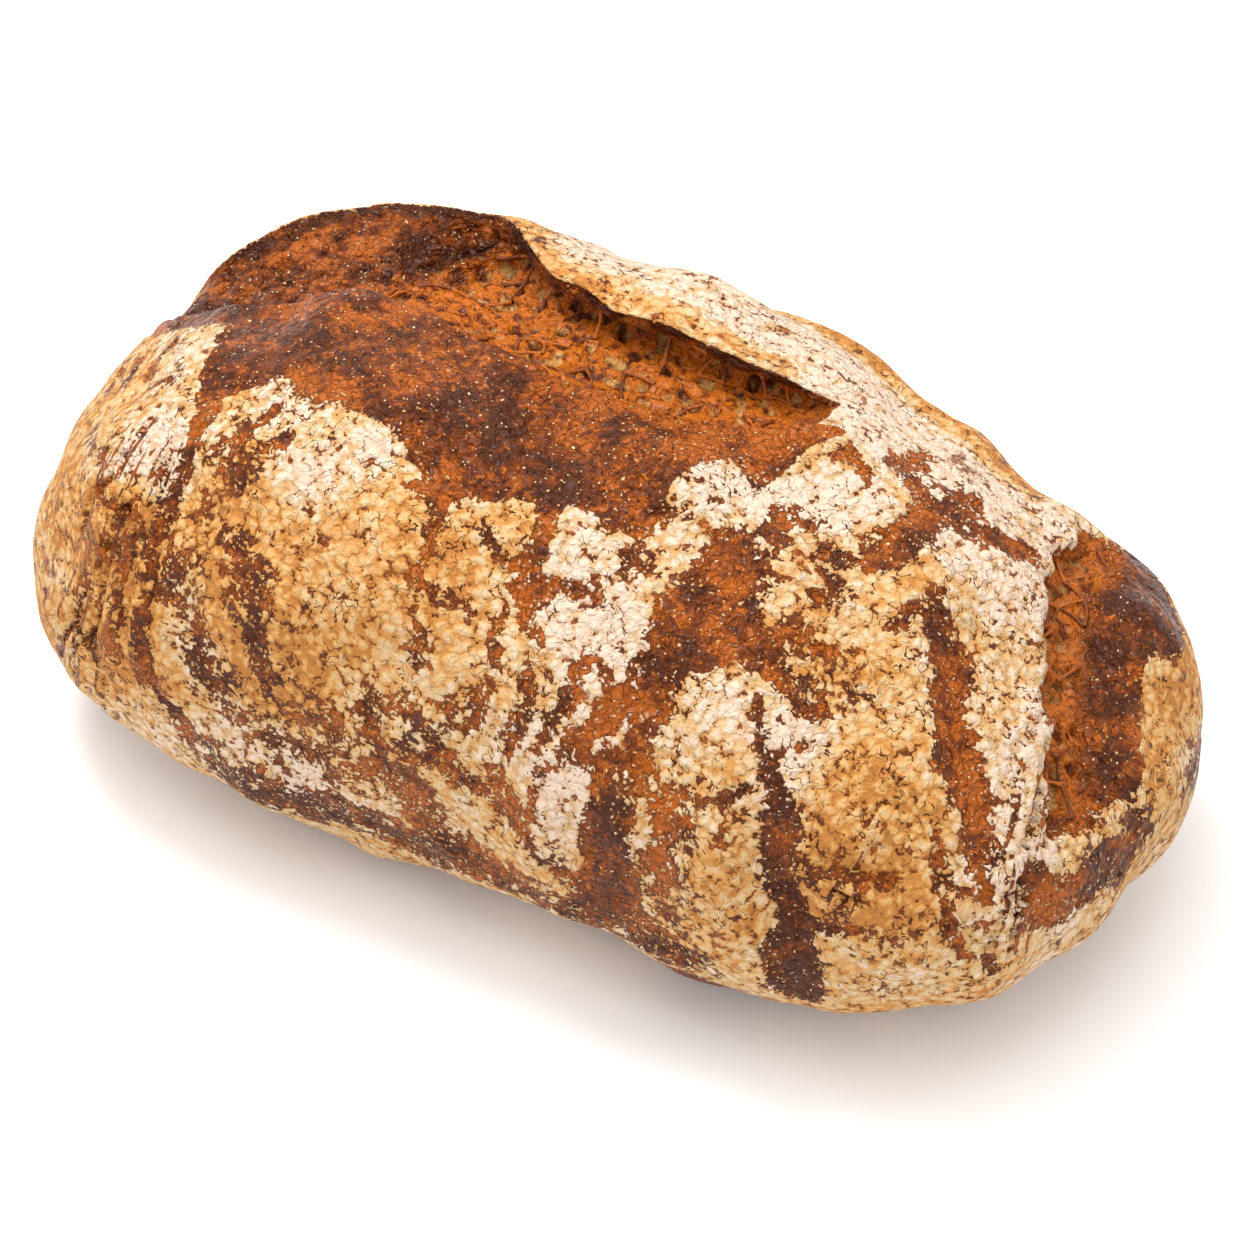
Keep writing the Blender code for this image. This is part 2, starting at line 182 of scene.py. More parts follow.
# Bare strokes and floured ones over them: half width at each end, then (x, girth) marks
BARE_STROKES = (
    (6.5, 6.5, ((40, 14), (40, 22), (40, 30), (39, 38))), (3.5, 3.5, ((36, 22), (36, 30))),
    (6, 3, ((50, 26), (62, 27), (72, 31))), (5, 3.5, ((38, 40), (40, 48), (41, 56), (42, 62))),
    (4.5, 7, ((38, 60), (38, 70), (39, 80), (40, 92))), (2, 2, ((33, 46), (31, 54), (27, 59))),
    (1.2, 2.5, ((45, 60), (49, 70), (53, 82))), (1.8, 1.8, ((21.5, 11), (21.5, 19))),
    (3, 3, ((15, 13), (19, 15))), (1.3, 1.3, ((23, 20), (24, 27))), (0.8, 0.8, ((24, 11.5), (36, 11))),
    (2, 2, ((36, 13), (36, 19))), (2.2, 2.2, ((1.5, 21), (2.5, 30), (4, 36))),
    (1.6, 1.6, ((4, 35), (10, 32.5), (20, 31.5))), (2.5, 2.5, ((5, 38), (8, 35))),
    (1.1, 1.1, ((1, 38), (2.5, 48), (3, 60), (2, 68))),
    (0.9, 0.9, ((7, 41), (11, 46), (13, 54), (13, 66))), (0.8, 0.8, ((11, 60), (11, 76))),
    (0.6, 0.6, ((25, 42), (23.5, 48))), (0.5, 0.5, ((27, 44), (29, 49))),
    (0.8, 0.8, ((21, 56), (24, 52), (27, 50))), (1.2, 1.2, ((20, 58), (21, 68))),
    (1.6, 1.6, ((26, 58), (30, 62))), (2.6, 2.6, ((-22, 27), (-20, 32))),
    (1.2, 1.2, ((-30, 28), (-24, 29))), (0.5, 0.5, ((-20, 33), (-20, 46))),
    (0.7, 0.7, ((-15, 42), (-12, 44), (-5, 45))), (0.5, 0.5, ((-18, 45), (-14, 52), (-12, 58))),
    (1.0, 1.0, ((-10, 31), (-2, 33))), (4, 5, ((-20, 76), (-14, 80), (-8, 86))),
    (2, 2, ((-12, 72), (-8, 76))), (1.2, 1.2, ((-22, 68), (-21, 76))), (1.6, 1.6, ((0, 77), (8, 78))),
    (1.2, 1.2, ((-2, 64), (-1, 74))), (1.2, 1.2, ((10, 70), (12, 80))), (2, 2, ((14, 76), (22, 84))),
    (1.5, 1.5, ((20, 84), (30, 88))), (4, 5.5, ((84, 5), (92, 9), (98, 17), (103, 24), (107, 30))),
    (4.5, 1.8, ((107, 30), (111, 37), (115, 46))), (1.6, 0.7, ((115, 46), (117, 56), (121, 70))),
    (0.6, 0.6, ((113, 44), (114, 56))), (0.6, 1.3, ((62, 36), (66, 42), (70, 48))),
    (1.5, 4, ((70, 48), (75, 54), (78, 62))), (4, 5.5, ((78, 62), (81, 72), (84, 84), (86, 96))),
    (1.6, 0.5, ((80, 62.5), (86, 64), (95, 60.5), (102, 57))), (0.5, 0.5, ((96, 60), (94, 68), (92, 74))),
    (1.2, 0.6, ((90, 79), (100, 76), (109, 71))), (0.8, 1.3, ((107, 46), (110, 57), (113, 66))),
    (1.3, 1.0, ((113, 66), (116, 76), (124, 86))), (2.5, 1.5, ((49, 30), (48, 37))),
    (1.0, 1.0, ((56, 59), (63, 57), (68, 52))), (2.4, 2.4, ((50, 62), (54, 70))),
    (1.2, 1.2, ((56, 60), (58, 70))), (0.9, 0.9, ((62, 59), (66, 66))),
    (4.2, 4.2, ((70, -12), (70, -4), (66, 1))), (2.5, 2.5, ((60, -22), (60, -15))),
    (2.5, 2.5, ((76, -18), (72, -14))), (2, 2, ((50, -8), (55, -7))),
    (2.6, 2.6, ((83, -14), (88, -16), (92, -17))), (1.2, 1.2, ((50, 3), (60, 5), (67, 3))),
    (1.5, 1.5, ((58, 8), (64, 10), (60, 14))), (2.4, 2.4, ((46, 3), (48, 8), (48, 18))),
    (1.2, 1.2, ((50, 14), (52, 20))), (1.5, 1.5, ((60, 20), (66, 21), (74, 20))),
    (1, 1, ((80, 2), (78, 10))), (3.5, 3.0, ((126, 50), (130, 60), (132, 68))),
    (2.5, 4.5, ((138, 20), (137, 36), (134, 54))),
    (3, 7, ((92, -58), (100, -58), (108, -58), (115, -50), (119, -34))),
    (0.8, 1.2, ((20, 58), (22, 70), (23, 78))), (1.5, 1.5, ((-85, 26), (-85, 40))),
    (1.6, 1.6, ((-70, 22), (-72, 30), (-70, 40))), (1.5, 1.5, ((-62, 29), (-66, 34), (-69, 40))),
    (0.9, 1.4, ((-62, 52), (-57, 56), (-54, 64))), (0.8, 0.8, ((-66, 74), (-65, 77))),
    (0.9, 0.9, ((-49, 72), (-48, 75))), (1, 2.4, ((-80, 80), (-74, 85), (-67, 90))),
    (1.1, 1.1, ((-108, 22), (-100, 23))), (1.2, 1.2, ((-114, 12), (-112, 18))),
    (1.2, 1.2, ((-104, 43), (-98, 49))), (0.5, 0.9, ((-95, 52), (-99, 62), (-104, 74), (-110, 90))),
    (0.4, 0.7, ((-93, 50), (-96, 58), (-98, 70), (-97, 84))),
    (0.6, 0.9, ((-91, 50), (-91, 62), (-90, 80))),
    (0.5, 1.2, ((-84, 28), (-85, 44), (-85, 56), (-83, 70), (-80, 84))),
    (0.6, 0.6, ((-82, 52), (-81, 66))), (0.6, 0.6, ((-118, 36), (-110, 41), (-104, 42))),
    (0.6, 0.6, ((-121, 14), (-120, 24))), (0.9, 0.9, ((-127, 16), (-126, 26))),
    (0.6, 0.6, ((-118, 54), (-112, 58))), (0.7, 0.7, ((-116, 70), (-118, 82))),
    (0.6, 0.6, ((-104, 56), (-108, 60))),
)
FLOUR_STROKES = (
    (1.6, 1.6, ((45, 9), (48, 12))), (4.2, 4.2, ((30, 14.5), (31, 16))), (2.2, 2.2, ((26, 21), (28, 21))),
    (1.5, 1.5, ((32, 23), (32, 27))), (1.8, 1.8, ((26, 29), (28, 29))), (1.4, 1.4, ((35, 53), (37, 57))),
    (0.9, 0.9, ((40, 48), (42, 52))), (1.5, 1.5, ((40, 62), (41, 66))), (1.4, 1.4, ((45, 61), (47, 66))),
    (1.4, 1.4, ((53, 62), (56, 68))), (0.8, 0.8, ((38, 21), (40, 20))), (2, 2, ((-13, 78), (-10, 79))),
    (4, 4, ((4, 84), (8, 84))), (3, 3, ((17, 86), (20, 86))), (4, 4, ((24, 72), (27, 78))),
    (2.5, 2.5, ((28, 66), (29, 74))), (2.2, 2.2, ((23, 62), (25, 67))), (4.5, 4.5, ((2, 70), (7, 71))),
    (3, 3, ((-17, 72), (-14, 66))), (2.4, 2.4, ((66, 26), (71, 28))), (1.2, 1.2, ((66, 35), (67, 37))),
    (2.2, 2.2, ((52, -18), (52, -12))), (2, 2, ((68, -20), (70, -16))),
    (1.6, 1.6, ((96, -22), (96, -17))), (1.2, 1.2, ((-89, 22), (-89, 44))),
    (1.2, 1.2, ((-70, 19), (-66, 18))), (0.8, 0.8, ((-61, 14), (-60.5, 15))),
)
# Half covered places: flour in mm, half width and line
MOTTLED_STROKES = (
    (2.0, 11, ((-118, 48), (-110, 66))), (-0.4, 6, ((-66, 48), (-58, 56), (-52, 68))),
    (-0.2, 6, ((-76, 58), (-68, 72), (-58, 80))), (-0.2, 4, ((-57, 56), (-60, 60))),
    (-0.3, 3, ((-77, 56), (-76, 64))), (0.2, 7, ((-44, 84), (-20, 84), (0, 90))),
    (-0.8, 8, ((130, 62), (136, 50), (138, 22))), (-0.3, 6, ((133, -84), (137, -68), (139, -40))),
    # The stroke along girth 97 thins the flour low on the front: partly real streaky flour, partly painted
    # shade
    (-1.2, 8, ((-60, 97), (0, 97), (60, 97))), (0.2, 8, ((-38, 74), (-28, 82))),
    (0.2, 5, ((-74, 34), (-75, 46))), (0.1, 5, ((60, -14), (78, -12))), (0.3, 6, ((-56, 84), (-40, 88))),
    (0.4, 5, ((72, 22), (78, 26))), (0.2, 4, ((66, -34), (66, -26))), (0.3, 6, ((-20, 66), (-6, 72))),
    (0.4, 6, ((54, 76), (56, 88))),
)
TOAST_STROKES = (
    (0.68, 22, ((-116, 30), (-122, 60), (-112, 88))), (0.2, 7, ((-108, 12), (-102, 18))),
    (0.0, 6, ((-94, 36), (-92, 42))), (0.85, 17, ((-66, 44), (-44, 48))),
    (1.0, 14, ((-56, 60), (-46, 70))), (0.15, 8, ((-56, 24), (-44, 26))),
    (0.1, 5, ((-57, 33), (-52, 34))), (0.95, 11, ((-92, 54), (-90, 68), (-90, 80))),
    (0.3, 9, ((-80, 92), (-64, 92))), (0.1, 9, ((-56, 86), (-38, 90))),
    (0.75, 12, ((-32, 38), (-30, 56))), (0.75, 9, ((-14, 38), (-6, 50))),
    (0.3, 6, ((-16, 60), (-14, 68))), (0.6, 6, ((-16, 28), (-5, 28))), (0.5, 4, ((4, 22), (6, 28))),
    (0.2, 7, ((12, 22), (18, 26))), (0.0, 13, ((14, 36), (24, 40), (26, 46))),
    (0.4, 4, ((6, 44), (8, 54))), (0.3, 5, ((16, 54), (18, 64))), (0.4, 6, ((2, 70), (7, 72))),
    (0.25, 6, ((4, 84), (10, 84))), (0.1, 8, ((26, 62), (28, 78))),
    (0.0, 9, ((30, 5), (40, 3), (56, -2))), (0.1, 6, ((29, 15), (31, 17))),
    (0.45, 10, ((54, 38), (56, 52))), (0.15, 7, ((73, 40), (75, 50))),
    (0.55, 10, ((78, 18), (88, 24), (92, 30))), (0.85, 11, ((90, 40), (92, 54), (98, 46))),
    (0.95, 11, ((90, 68), (104, 68))), (0.7, 8, ((66, 74), (72, 80))), (0.6, 9, ((94, 86), (108, 84))),
    (0.35, 9, ((118, 58), (122, 80))), (0.05, 11, ((112, 8), (119, 24), (121, 46))),
    (0.5, 4, ((104, 5), (108, 12))), (0.85, 7, ((129, -44), (133, -12), (137, 10))),
    (0.0, 18, ((-30, -32), (40, -30), (90, -24))), (1.0, 7, ((-10, -52), (30, -54), (76, -50))),
    (0.45, 6, ((70, 5), (78, 5))), (0.05, 8, ((80, -6), (96, -6))),
    (0.9, 4, ((-60, -38), (-44, -24), (-30, -19), (0, -18), (24, -20))),
)
DARK_STROKES = (
    (0.95, 8, ((96, -58), (108, -58), (115, -50), (119, -34))),
    (0.7, 9, ((130, 62), (137, 40), (139, 0), (137, -70))), (0.65, 18, ((-36, 12), (-8, 12))),
    (0.95, 10, ((-24, 13), (-6, 12))), (0.5, 12, ((-70, 8), (-52, 10))), (0.9, 5, ((-66, 11), (-60, 11))),
    (0.7, 9, ((-96, 8), (-84, 12))), (0.85, 10, ((-124, 0), (-106, 2))), (0.5, 8, ((4, 8), (16, 10))),
    (0.25, 6, ((8, -1), (28, -2), (42, -8))), (0.6, 6, ((38, 16), (38, 28))),
    (0.8, 7, ((44, 26), (44, 42))), (1.0, 7, ((38, 72), (40, 86))), (0.2, 5, ((35, 58), (36, 64))),
    (0.25, 5, ((46, 64), (52, 84))), (1.1, 8, ((78, 60), (83, 78), (86, 92))),
    (0.95, 5, ((68, 46), (75, 54), (79, 62))), (0.6, 6, ((84, 5), (94, 10))),
    (0.95, 3.5, ((96, 17), (101, 27))), (0.15, 5, ((104, 17), (108, 26), (112, 36))),
    (0.55, 7, ((52, 25), (66, 26))), (0.2, 3, ((56, 31), (70, 33))), (0.7, 5, ((70, -10), (70, -4))),
    # The stroke along girth 98 darkens the band low on the front: partly its own dark crust, partly painted
    # shade
    (0.4, 6, ((-18, 78), (-10, 86))), (0.85, 6, ((-60, 98), (60, 98))),
    (0.95, 3, ((-64, 50), (-57, 56), (-52, 66))), (0.95, 4, ((-67, 74), (-60, 78), (-48, 73))),
    (0.1, 7, ((100, -44), (104, -24))), (0.1, 8, ((106, -12), (116, 0), (126, 12))),
    (0.95, 9, ((116, -48), (118, -28), (120, -16))), (0.7, 4, ((127, -8), (131, 4))),
    (0.35, 5, ((130, 24), (131, 60))), (0.3, 3, ((-108, 22), (-100, 23))),
)
# How far across the slash, from its near lip, the open crumb reaches
CRUMB_SHARES = (
    (-125, -0.2), (-112, -0.1), (-98, 0.18), (-86, 0.32), (-74, 0.46), (-60, 0.62), (-50, 0.72),
    (40, 0.74),
)
# Pleats that run along these lines: half width of their band in mm, strength and line
PLEATS = (
    (18, 1.0, ((-94, 24), (-97, 44), (-99, 62), (-103, 82), (-108, 104))),
    (9, 0.9, ((111, -14), (115, 8), (120, 32), (124, 60), (124, 94))),
    (7, 0.7, ((94, 40), (93, 58), (92, 78))),
)
PLEAT_RANGE = 40.0
# Fold ridges and grooves that follow the pleats, in metres, and how the noise is stretched along them
FOLD_SIZE = 0.0046
FOLD_RISE = 0.0012
FOLD_SINK = 0.0030
FOLD_STRETCH = 0.02
FOLD_SEED = 51
GROOVE_EDGE = (0.02, 0.20)
PLEAT_ENDS = (0.2, 0.8)
# Hollow under the torn arch of the ear, dented and darkened with painted shade: along the loaf, and from
# the near lip to the ear's
CAVE_SPAN = (-0.091, -0.054)
CAVE_SHARES = (0.60, 0.95)
CAVE_DEPTH = 0.0055
BRUSH_STEPS = 8
FLOUR_DEPTH = 3.0
FLOUR_THICKNESS = 0.0005
FLOUR_EDGE = (-0.3, 0.5)
IN_SLASH = 0.25
FLOUR_RANGE = 8.0
# Wander of the torn lip at the right end, and how far past it the crumb and the bare crust reach, in mm
TORN_WANDERS = ((0.007, 0.0022, 61), (0.0026, 0.0010, 64))
END_WEB_REACH = (9.0, 16.0)
END_BARE_REACH = (22.5, 28.5)
END_BAND = (9.0, 14.0, 18.0, 24.0)
# Relief of the crust: size of its features and height, in metres
POPCORN_SIZE, POPCORN_RISE = 0.0024, 0.00012
PIMPLES = ((0.0016, 0.00022, 8), (0.0038, 0.00030, 9))
MOUND_SIZE, MOUND_RISE = 0.007, 0.0005
# Round holes of the open crumb
HOLE_SIZE = 0.0037
HOLE_EDGE = (0.34, 0.52)
HOLE_DEPTH = 0.0030
WEB_SINK = 0.0006
WALL_SHARES = (0.04, 0.14, 0.88, 0.96)
END_WEB_STRENGTH = 0.8
WALL_STRENGTH = 0.55
RELIEF_START = 0.004
UNDER_HEIGHT = 0.012


def step(low, high, value):
    """Smooth rise from 0 at low to 1 at high."""
    f = np.clip((value - low) / (high - low), 0.0, 1.0)
    return f * f * (3 - 2 * f)


def bell(distance):
    """1 at a distance of 0, and 0 from a distance of 1 on."""
    return 1 - step(0.0, 1.0, np.abs(distance))


def along(pairs, x):
    """Smooth curve through (x, value) pairs, level before the first and after the last."""
    knots, values = np.array(pairs, float).T
    slopes = np.gradient(values, knots)
    x = np.clip(x, knots[0], knots[-1])
    i = np.clip(np.searchsorted(knots, x, side="right") - 1, 0, len(knots) - 2)
    gap = knots[i + 1] - knots[i]
    f = (x - knots[i]) / gap
    start = (1 + 2 * f) * (1 - f) ** 2 * values[i] + f * (1 - f) ** 2 * gap * slopes[i]
    end = f * f * (3 - 2 * f) * values[i + 1] + f * f * (f - 1) * gap * slopes[i + 1]
    return start + end


def power(value, exponent):
    return np.sign(value) * np.abs(value) ** exponent


def body(x, girth):
    """Points of the smooth loaf at x and girth, before its base is flattened."""
    taper = (1 - np.abs(x / HALF_LENGTH) ** END_FULLNESS) ** (1 / END_FULLNESS)
    across = power(np.sin(np.radians(girth)), 2 / GIRTH_FULLNESS)
    rise = power(np.cos(np.radians(girth)), 2 / GIRTH_FULLNESS)
    half_width = np.where(across > 0, along(FRONT_HALF_WIDTHS, x), along(BACK_HALF_WIDTHS, x))
    reach = np.where(rise > 0, along(TOP_HEIGHTS, x) - WIDEST_HEIGHT, BELLY_REACH)
    y = -across * half_width * taper
    z = WIDEST_HEIGHT + rise * reach * taper
    return np.stack(np.broadcast_arrays(x, y, z), axis=-1)


def level(points):
    """1 on the smooth loaf, less inside it and more outside."""
    x, y, z = np.moveaxis(points, -1, 0)
    half_width = np.where(y < 0, along(FRONT_HALF_WIDTHS, x), along(BACK_HALF_WIDTHS, x))
    reach = np.where(z > WIDEST_HEIGHT, along(TOP_HEIGHTS, x) - WIDEST_HEIGHT, BELLY_REACH)
    sideways = np.abs(y / half_width) ** GIRTH_FULLNESS
    section = sideways + np.abs((z - WIDEST_HEIGHT) / reach) ** GIRTH_FULLNESS
    return np.abs(x / HALF_LENGTH) ** END_FULLNESS + section ** (END_FULLNESS / GIRTH_FULLNESS)


def outward(points):
    """Unit normals of the smooth loaf."""
    nudges = np.eye(3) * NUDGE
    slope = np.stack([level(points + nudge) - level(points - nudge) for nudge in nudges], axis=-1)
    return slope / np.linalg.norm(slope, axis=-1, keepdims=True)


def settle(points):
    """Rolls the belly into the flat base spot and centres the loaf on the origin."""
    height = BASE_ROLL * np.logaddexp(0.0, points[..., 2] / BASE_ROLL) - BASE_SINK
    centre = np.array(PLAN_CENTRE)
    return np.concatenate([points[..., :2] - centre, np.maximum(height, 0.0)[..., None]], axis=-1)


def waves(points, length, seed):
    """Even random waves of about unit height and the given wave length."""
    draw = np.random.default_rng(seed)
    directions = draw.normal(size=(LUMP_WAVES, 3))
    directions *= 2 * np.pi / length / np.linalg.norm(directions, axis=1, keepdims=True)
    directions *= draw.uniform(*LUMP_SPREAD, (LUMP_WAVES, 1))
    phases = draw.uniform(0.0, 2 * np.pi, LUMP_WAVES)
    return np.cos(points @ directions.T + phases).sum(axis=-1) / np.sqrt(LUMP_WAVES / 2)


def slash_layout(x):
    """Of a section: girths of both lips, depth, undercut, slant, ear lift, bloom drop, openness."""
    wander = LIP_WAVE_WIDTH * waves(body(x, WANDER_GIRTH), LIP_WAVE_LENGTH, LUMP_SEED)
    per_metre = 180 / np.pi / (along(TOP_HEIGHTS, x) - WIDEST_HEIGHT)
    return (
        along(NEAR_LIP_GIRTHS, x),
        along(EAR_LIP_GIRTHS, x) + wander * per_metre,
        along(SLASH_DEPTHS, x),
        along(EAR_UNDERCUTS, x),
        1 - step(*SLANT_END, x),
        along(EAR_LIFTS, x),
        along(BLOOM_DROPS, x),
        step(*SLASH_START, x) * (1 - step(*SLASH_END, x)),
    )


def slash_section(f, width, depth, undercut, slant, drop):
    """Positions from the near lip towards the ear, and depths, across the open slash."""
    profile = np.array(SLASH_PROFILE) * (1 - slant) + np.array(SLANTED_PROFILE) * slant
    marks = np.linspace(0.0, 1.0, len(profile))
    share, hidden, sunk = (along(np.stack([marks, row], axis=1), f) for row in profile.T)
    return width * share + undercut * hidden, drop * bell(f / BLOOM_DROP_SHARE) + depth * sunk


def outer_spacing(cells):
    """Positions from 0 to 1 with the outer spacing, from the ear's lip round to the near lip."""
    f = np.linspace(0.0, 1.0, cells)
    marks = np.linspace(0.0, 1.0, len(OUTER_SPACING))
    steps = along(np.stack([marks, OUTER_SPACING], axis=1), (f[1:] + f[:-1]) / 2)
    return np.concatenate([[0.0], np.cumsum(steps)]) / steps.sum()


def leaning(x, girth):
    """Where the ring of x lies at each girth: rings near the right end lean along its slash."""
    low, high = END_SLASH_BLEND
    blend = step(low, END_SLASH_MIDDLE, x) * np.clip((high - x) / (high - END_SLASH_MIDDLE), 0.0, 1.0)
    slash_x, slash_girth = np.array(END_SLASH_LIP).T
    marks = [
        (-LEAN_GIRTH, END_SLASH_MIDDLE),
        *zip(slash_girth, slash_x),
        (LEAN_GIRTH, END_SLASH_MIDDLE),
    ]
    return x + blend * (along(marks, (girth + 180) % 360 - 180) - END_SLASH_MIDDLE)


def ring(x):
    """One section: smooth points, heights over them, keys round it, and marks of what each is."""
    near, ear, depth, undercut, slant, lift, drop, openness = slash_layout(x)
    girths = near - np.linspace(0.0, 360.0, TURN_STEPS)
    chords = np.linalg.norm(np.diff(body(leaning(x, girths), girths), axis=0), axis=1)
    reach = np.concatenate([[0.0], np.cumsum(chords)])
    width = np.interp(near - ear, near - girths, reach)

    cells = max(3, round((width + openness * (depth + max(undercut, 0.0)) * 2) / SLASH_SPACING))
    f = np.linspace(0.0, 1.0, cells + 1)[:-1]
    across, sunk = slash_section(f, width, depth, undercut, slant, drop)
    slash = width * f + openness * (across - width * f)
    slash_height = openness * (lift * step(*EAR_RIM_SHARES, f) - sunk)

    mean_spacing = COLUMN_SPACING * len(OUTER_SPACING) / np.sum(1 / np.array(OUTER_SPACING))
    spread = outer_spacing(max(5, round((reach[-1] - width) / mean_spacing)) + 1)[:-1]
    outer = width + (reach[-1] - width) * spread
    ear_height = lift * bell((outer - width) / EAR_LIFT_REACH)
    bloom_height = -drop * bell((reach[-1] - outer) / BLOOM_REACH)

    girth = np.interp(np.concatenate([slash, outer]), reach, girths)
    return {
        "smooth": body(leaning(x, girth), girth),
        "height": np.concatenate([slash_height, openness * (ear_height + bloom_height)]),
        "key": np.concatenate([f, 1 + spread]),
        "girth": (girth + 180) % 360 - 180,
        "x": leaning(x, girth),
        "in_slash": np.concatenate([np.full(cells, openness), np.zeros(len(outer))]),
        "slash_share": np.concatenate([f, np.ones(len(outer))]),
        "past_ear": np.concatenate([np.zeros(cells), outer - width]),
        "before_near": np.concatenate([np.zeros(cells), reach[-1] - outer]),
        "openness": np.full(cells + len(outer), openness),
    }


def line_on_crust(marks, steps=LINE_STEPS):
    """Smooth line on the loaf through (x, girth) marks."""
    x, girth = np.array(marks, float).T
    f = np.linspace(0.0, 1.0, steps)
    knots = np.linspace(0.0, 1.0, len(marks))
    return body(*(along(np.stack([knots, row], axis=1), f) for row in (x, girth)))


def line_distance(points, line):
    """Distance of each point from the line, its side (+ where x is larger), and its share along it."""
    best = np.full(len(points), np.inf)
    side = np.zeros(len(points))
    share = np.zeros(len(points))
    for i, (start, end) in enumerate(zip(line[:-1], line[1:])):
        run = end - start
        f = np.clip((points - start) @ run / (run @ run), 0.0, 1.0)
        away = points - start - f[:, None] * run
        distance = np.linalg.norm(away, axis=1)
        nearer = distance < best
        best = np.where(nearer, distance, best)
        right = np.cross(run, outward(start[None])[0])
        side = np.where(nearer, np.sign(away @ right) * np.sign(right[0]), side)
        share = np.where(nearer, (i + f) / (len(line) - 1), share)
    return best, side, share


def swell_height(points):
    total = np.zeros(len(points))
    for x, girth, radius, height in SWELLS:
        distance = np.linalg.norm(points - body(x, girth), axis=1)
        total += height * np.exp(-((distance / radius) ** 2))
    return total


def end_slash_height(points):
    """The slash across the right end: a steep lip, a floor and a long rise to the crust."""
    distance, side, share = line_distance(points, line_on_crust(END_SLASH_LIP))
    across = distance * side
    drop = step(-END_SLASH_EDGE / 2, END_SLASH_EDGE / 2, across)
    rise = 1 - step(END_SLASH_FLOOR, END_SLASH_WIDTH, across)
    ends = step(0.0, END_SLASH_FADE, share) * (1 - step(1 - END_SLASH_FADE, 1.0, share))
    return -END_SLASH_DEPTH * drop * rise * ends, across, ends


def furrow_height(points):
    """Furrows and folds pressed into the crust, and the torn ridges that stand on its back."""
    lines = [(marks, width, -depth) for marks, width, depth in FURROWS]
    lines += [(marks, FOLD_HALF_WIDTH, -FOLD_DEPTH) for marks in FOLD_LINES]
    lines += [(marks, width, height) for marks, width, height in BACK_RIDGES]
    total = np.zeros(len(points))
    for marks, width, height in lines:
        distance, _, share = line_distance(points, line_on_crust(marks))
        total += height * np.exp(-((distance / width) ** 2)) * bell(share * 2 - 1) ** FURROW_TAPER
    return total


# Large odd factors that scramble a lattice cell into a repeatable random number
CELL_FACTORS = (374761393, 668265263, 2147483647)
SEED_FACTOR = 1274126177
MIX_FACTOR = 2246822519
ROW_STEP = 362437
LOW_BITS = 0xFFFFFFFF
DRAW_RANGE = 0xFFFFFF


def lattice_draw(cells, seed, count):
    """Repeatable random numbers from 0 to 1 for whole-number lattice cells."""
    mix = seed * SEED_FACTOR + sum(cells[..., i] * factor for i, factor in enumerate(CELL_FACTORS))
    rows = []
    for i in range(count):
        h = (mix + i * ROW_STEP) & LOW_BITS
        h = ((h ^ (h >> 13)) * SEED_FACTOR) & LOW_BITS
        h = ((h ^ (h >> 16)) * MIX_FACTOR) & LOW_BITS
        rows.append(((h ^ (h >> 15)) & DRAW_RANGE) / DRAW_RANGE)
    return np.stack(rows, axis=-1)


def noise(points, size, seed):
    """Smooth value noise from -1 to 1 with features of the given size."""
    place = points / size + seed * 17.3
    cell = np.floor(place).astype(np.int64)
    f = place - cell
    f = f * f * f * (f * (f * 6 - 15) + 10)
    total = np.zeros(len(points))
    for corner in np.ndindex(2, 2, 2):
        weight = np.prod(np.where(np.array(corner), f, 1 - f), axis=1)
        total += weight * lattice_draw(cell + np.array(corner), seed, 1)[:, 0]
    return 2 * total - 1


def cells(points, size, seed):
    """Distance to the nearest of scattered seeds, in cell sizes."""
    place = points / size
    cell = np.floor(place).astype(np.int64)
    nearest = np.full(len(points), np.inf)
    for corner in np.ndindex(3, 3, 3):
        spot = cell + np.array(corner) - 1
        distance = np.linalg.norm(spot + lattice_draw(spot, seed, 3) - place, axis=1)
        nearest = np.minimum(nearest, distance)
    return nearest


def wander(points, size, amount, seed):
    """Smooth random shifts of up to the amount, with features of the given size."""
    return amount * np.stack([noise(points, size, seed + i) for i in range(3)], axis=1)


def stroke_distance(points, marks, first=0.0, last=0.0):
    """Millimetres outside a brush stroke through (x mm, girth) marks, which widens evenly."""
    line = line_on_crust([(x * MM, girth) for x, girth in marks], BRUSH_STEPS)
    best = np.full(len(points), np.inf)
    for i, (start, end) in enumerate(zip(line[:-1], line[1:])):
        run = end - start
        f = np.clip((points - start) @ run / (run @ run), 0.0, 1.0)
        half_width = first + (last - first) * (i + f) / (BRUSH_STEPS - 1)
        away = np.linalg.norm(points - start - f[:, None] * run, axis=1) / MM
        best = np.minimum(best, away - half_width)
    return best


def paint(base, strokes, points, softness):
    """Values brushed over base: each stroke is (value, half width in mm, marks)."""
    value = base.copy()
    for level_there, half_width, marks in strokes:
        cover = 1 - step(-softness, softness, stroke_distance(points, marks) - half_width)
        value += cover * (level_there - value)
    return value


# How the edge of the flour wanders: size, reach and seed of each pattern
FLOUR_WANDERS = ((0.008, 0.0020, 41), (0.003, 0.0012, 44))
# Girths where the flour thins at the back and under the loaf, how much and in which patches
THIN_BACK = (-62, -74)
THIN_BELOW = (104, 116)
THIN_AMOUNT = (1.4, 3.2)
THIN_PATCHES = (0.022, 31)
MOTTLED_STRENGTH = 0.85
BLOOM_SLOPE = 1.2
BLOOM_RAGGED = 1.2
BLOOM_PATCHES = (0.006, 48)


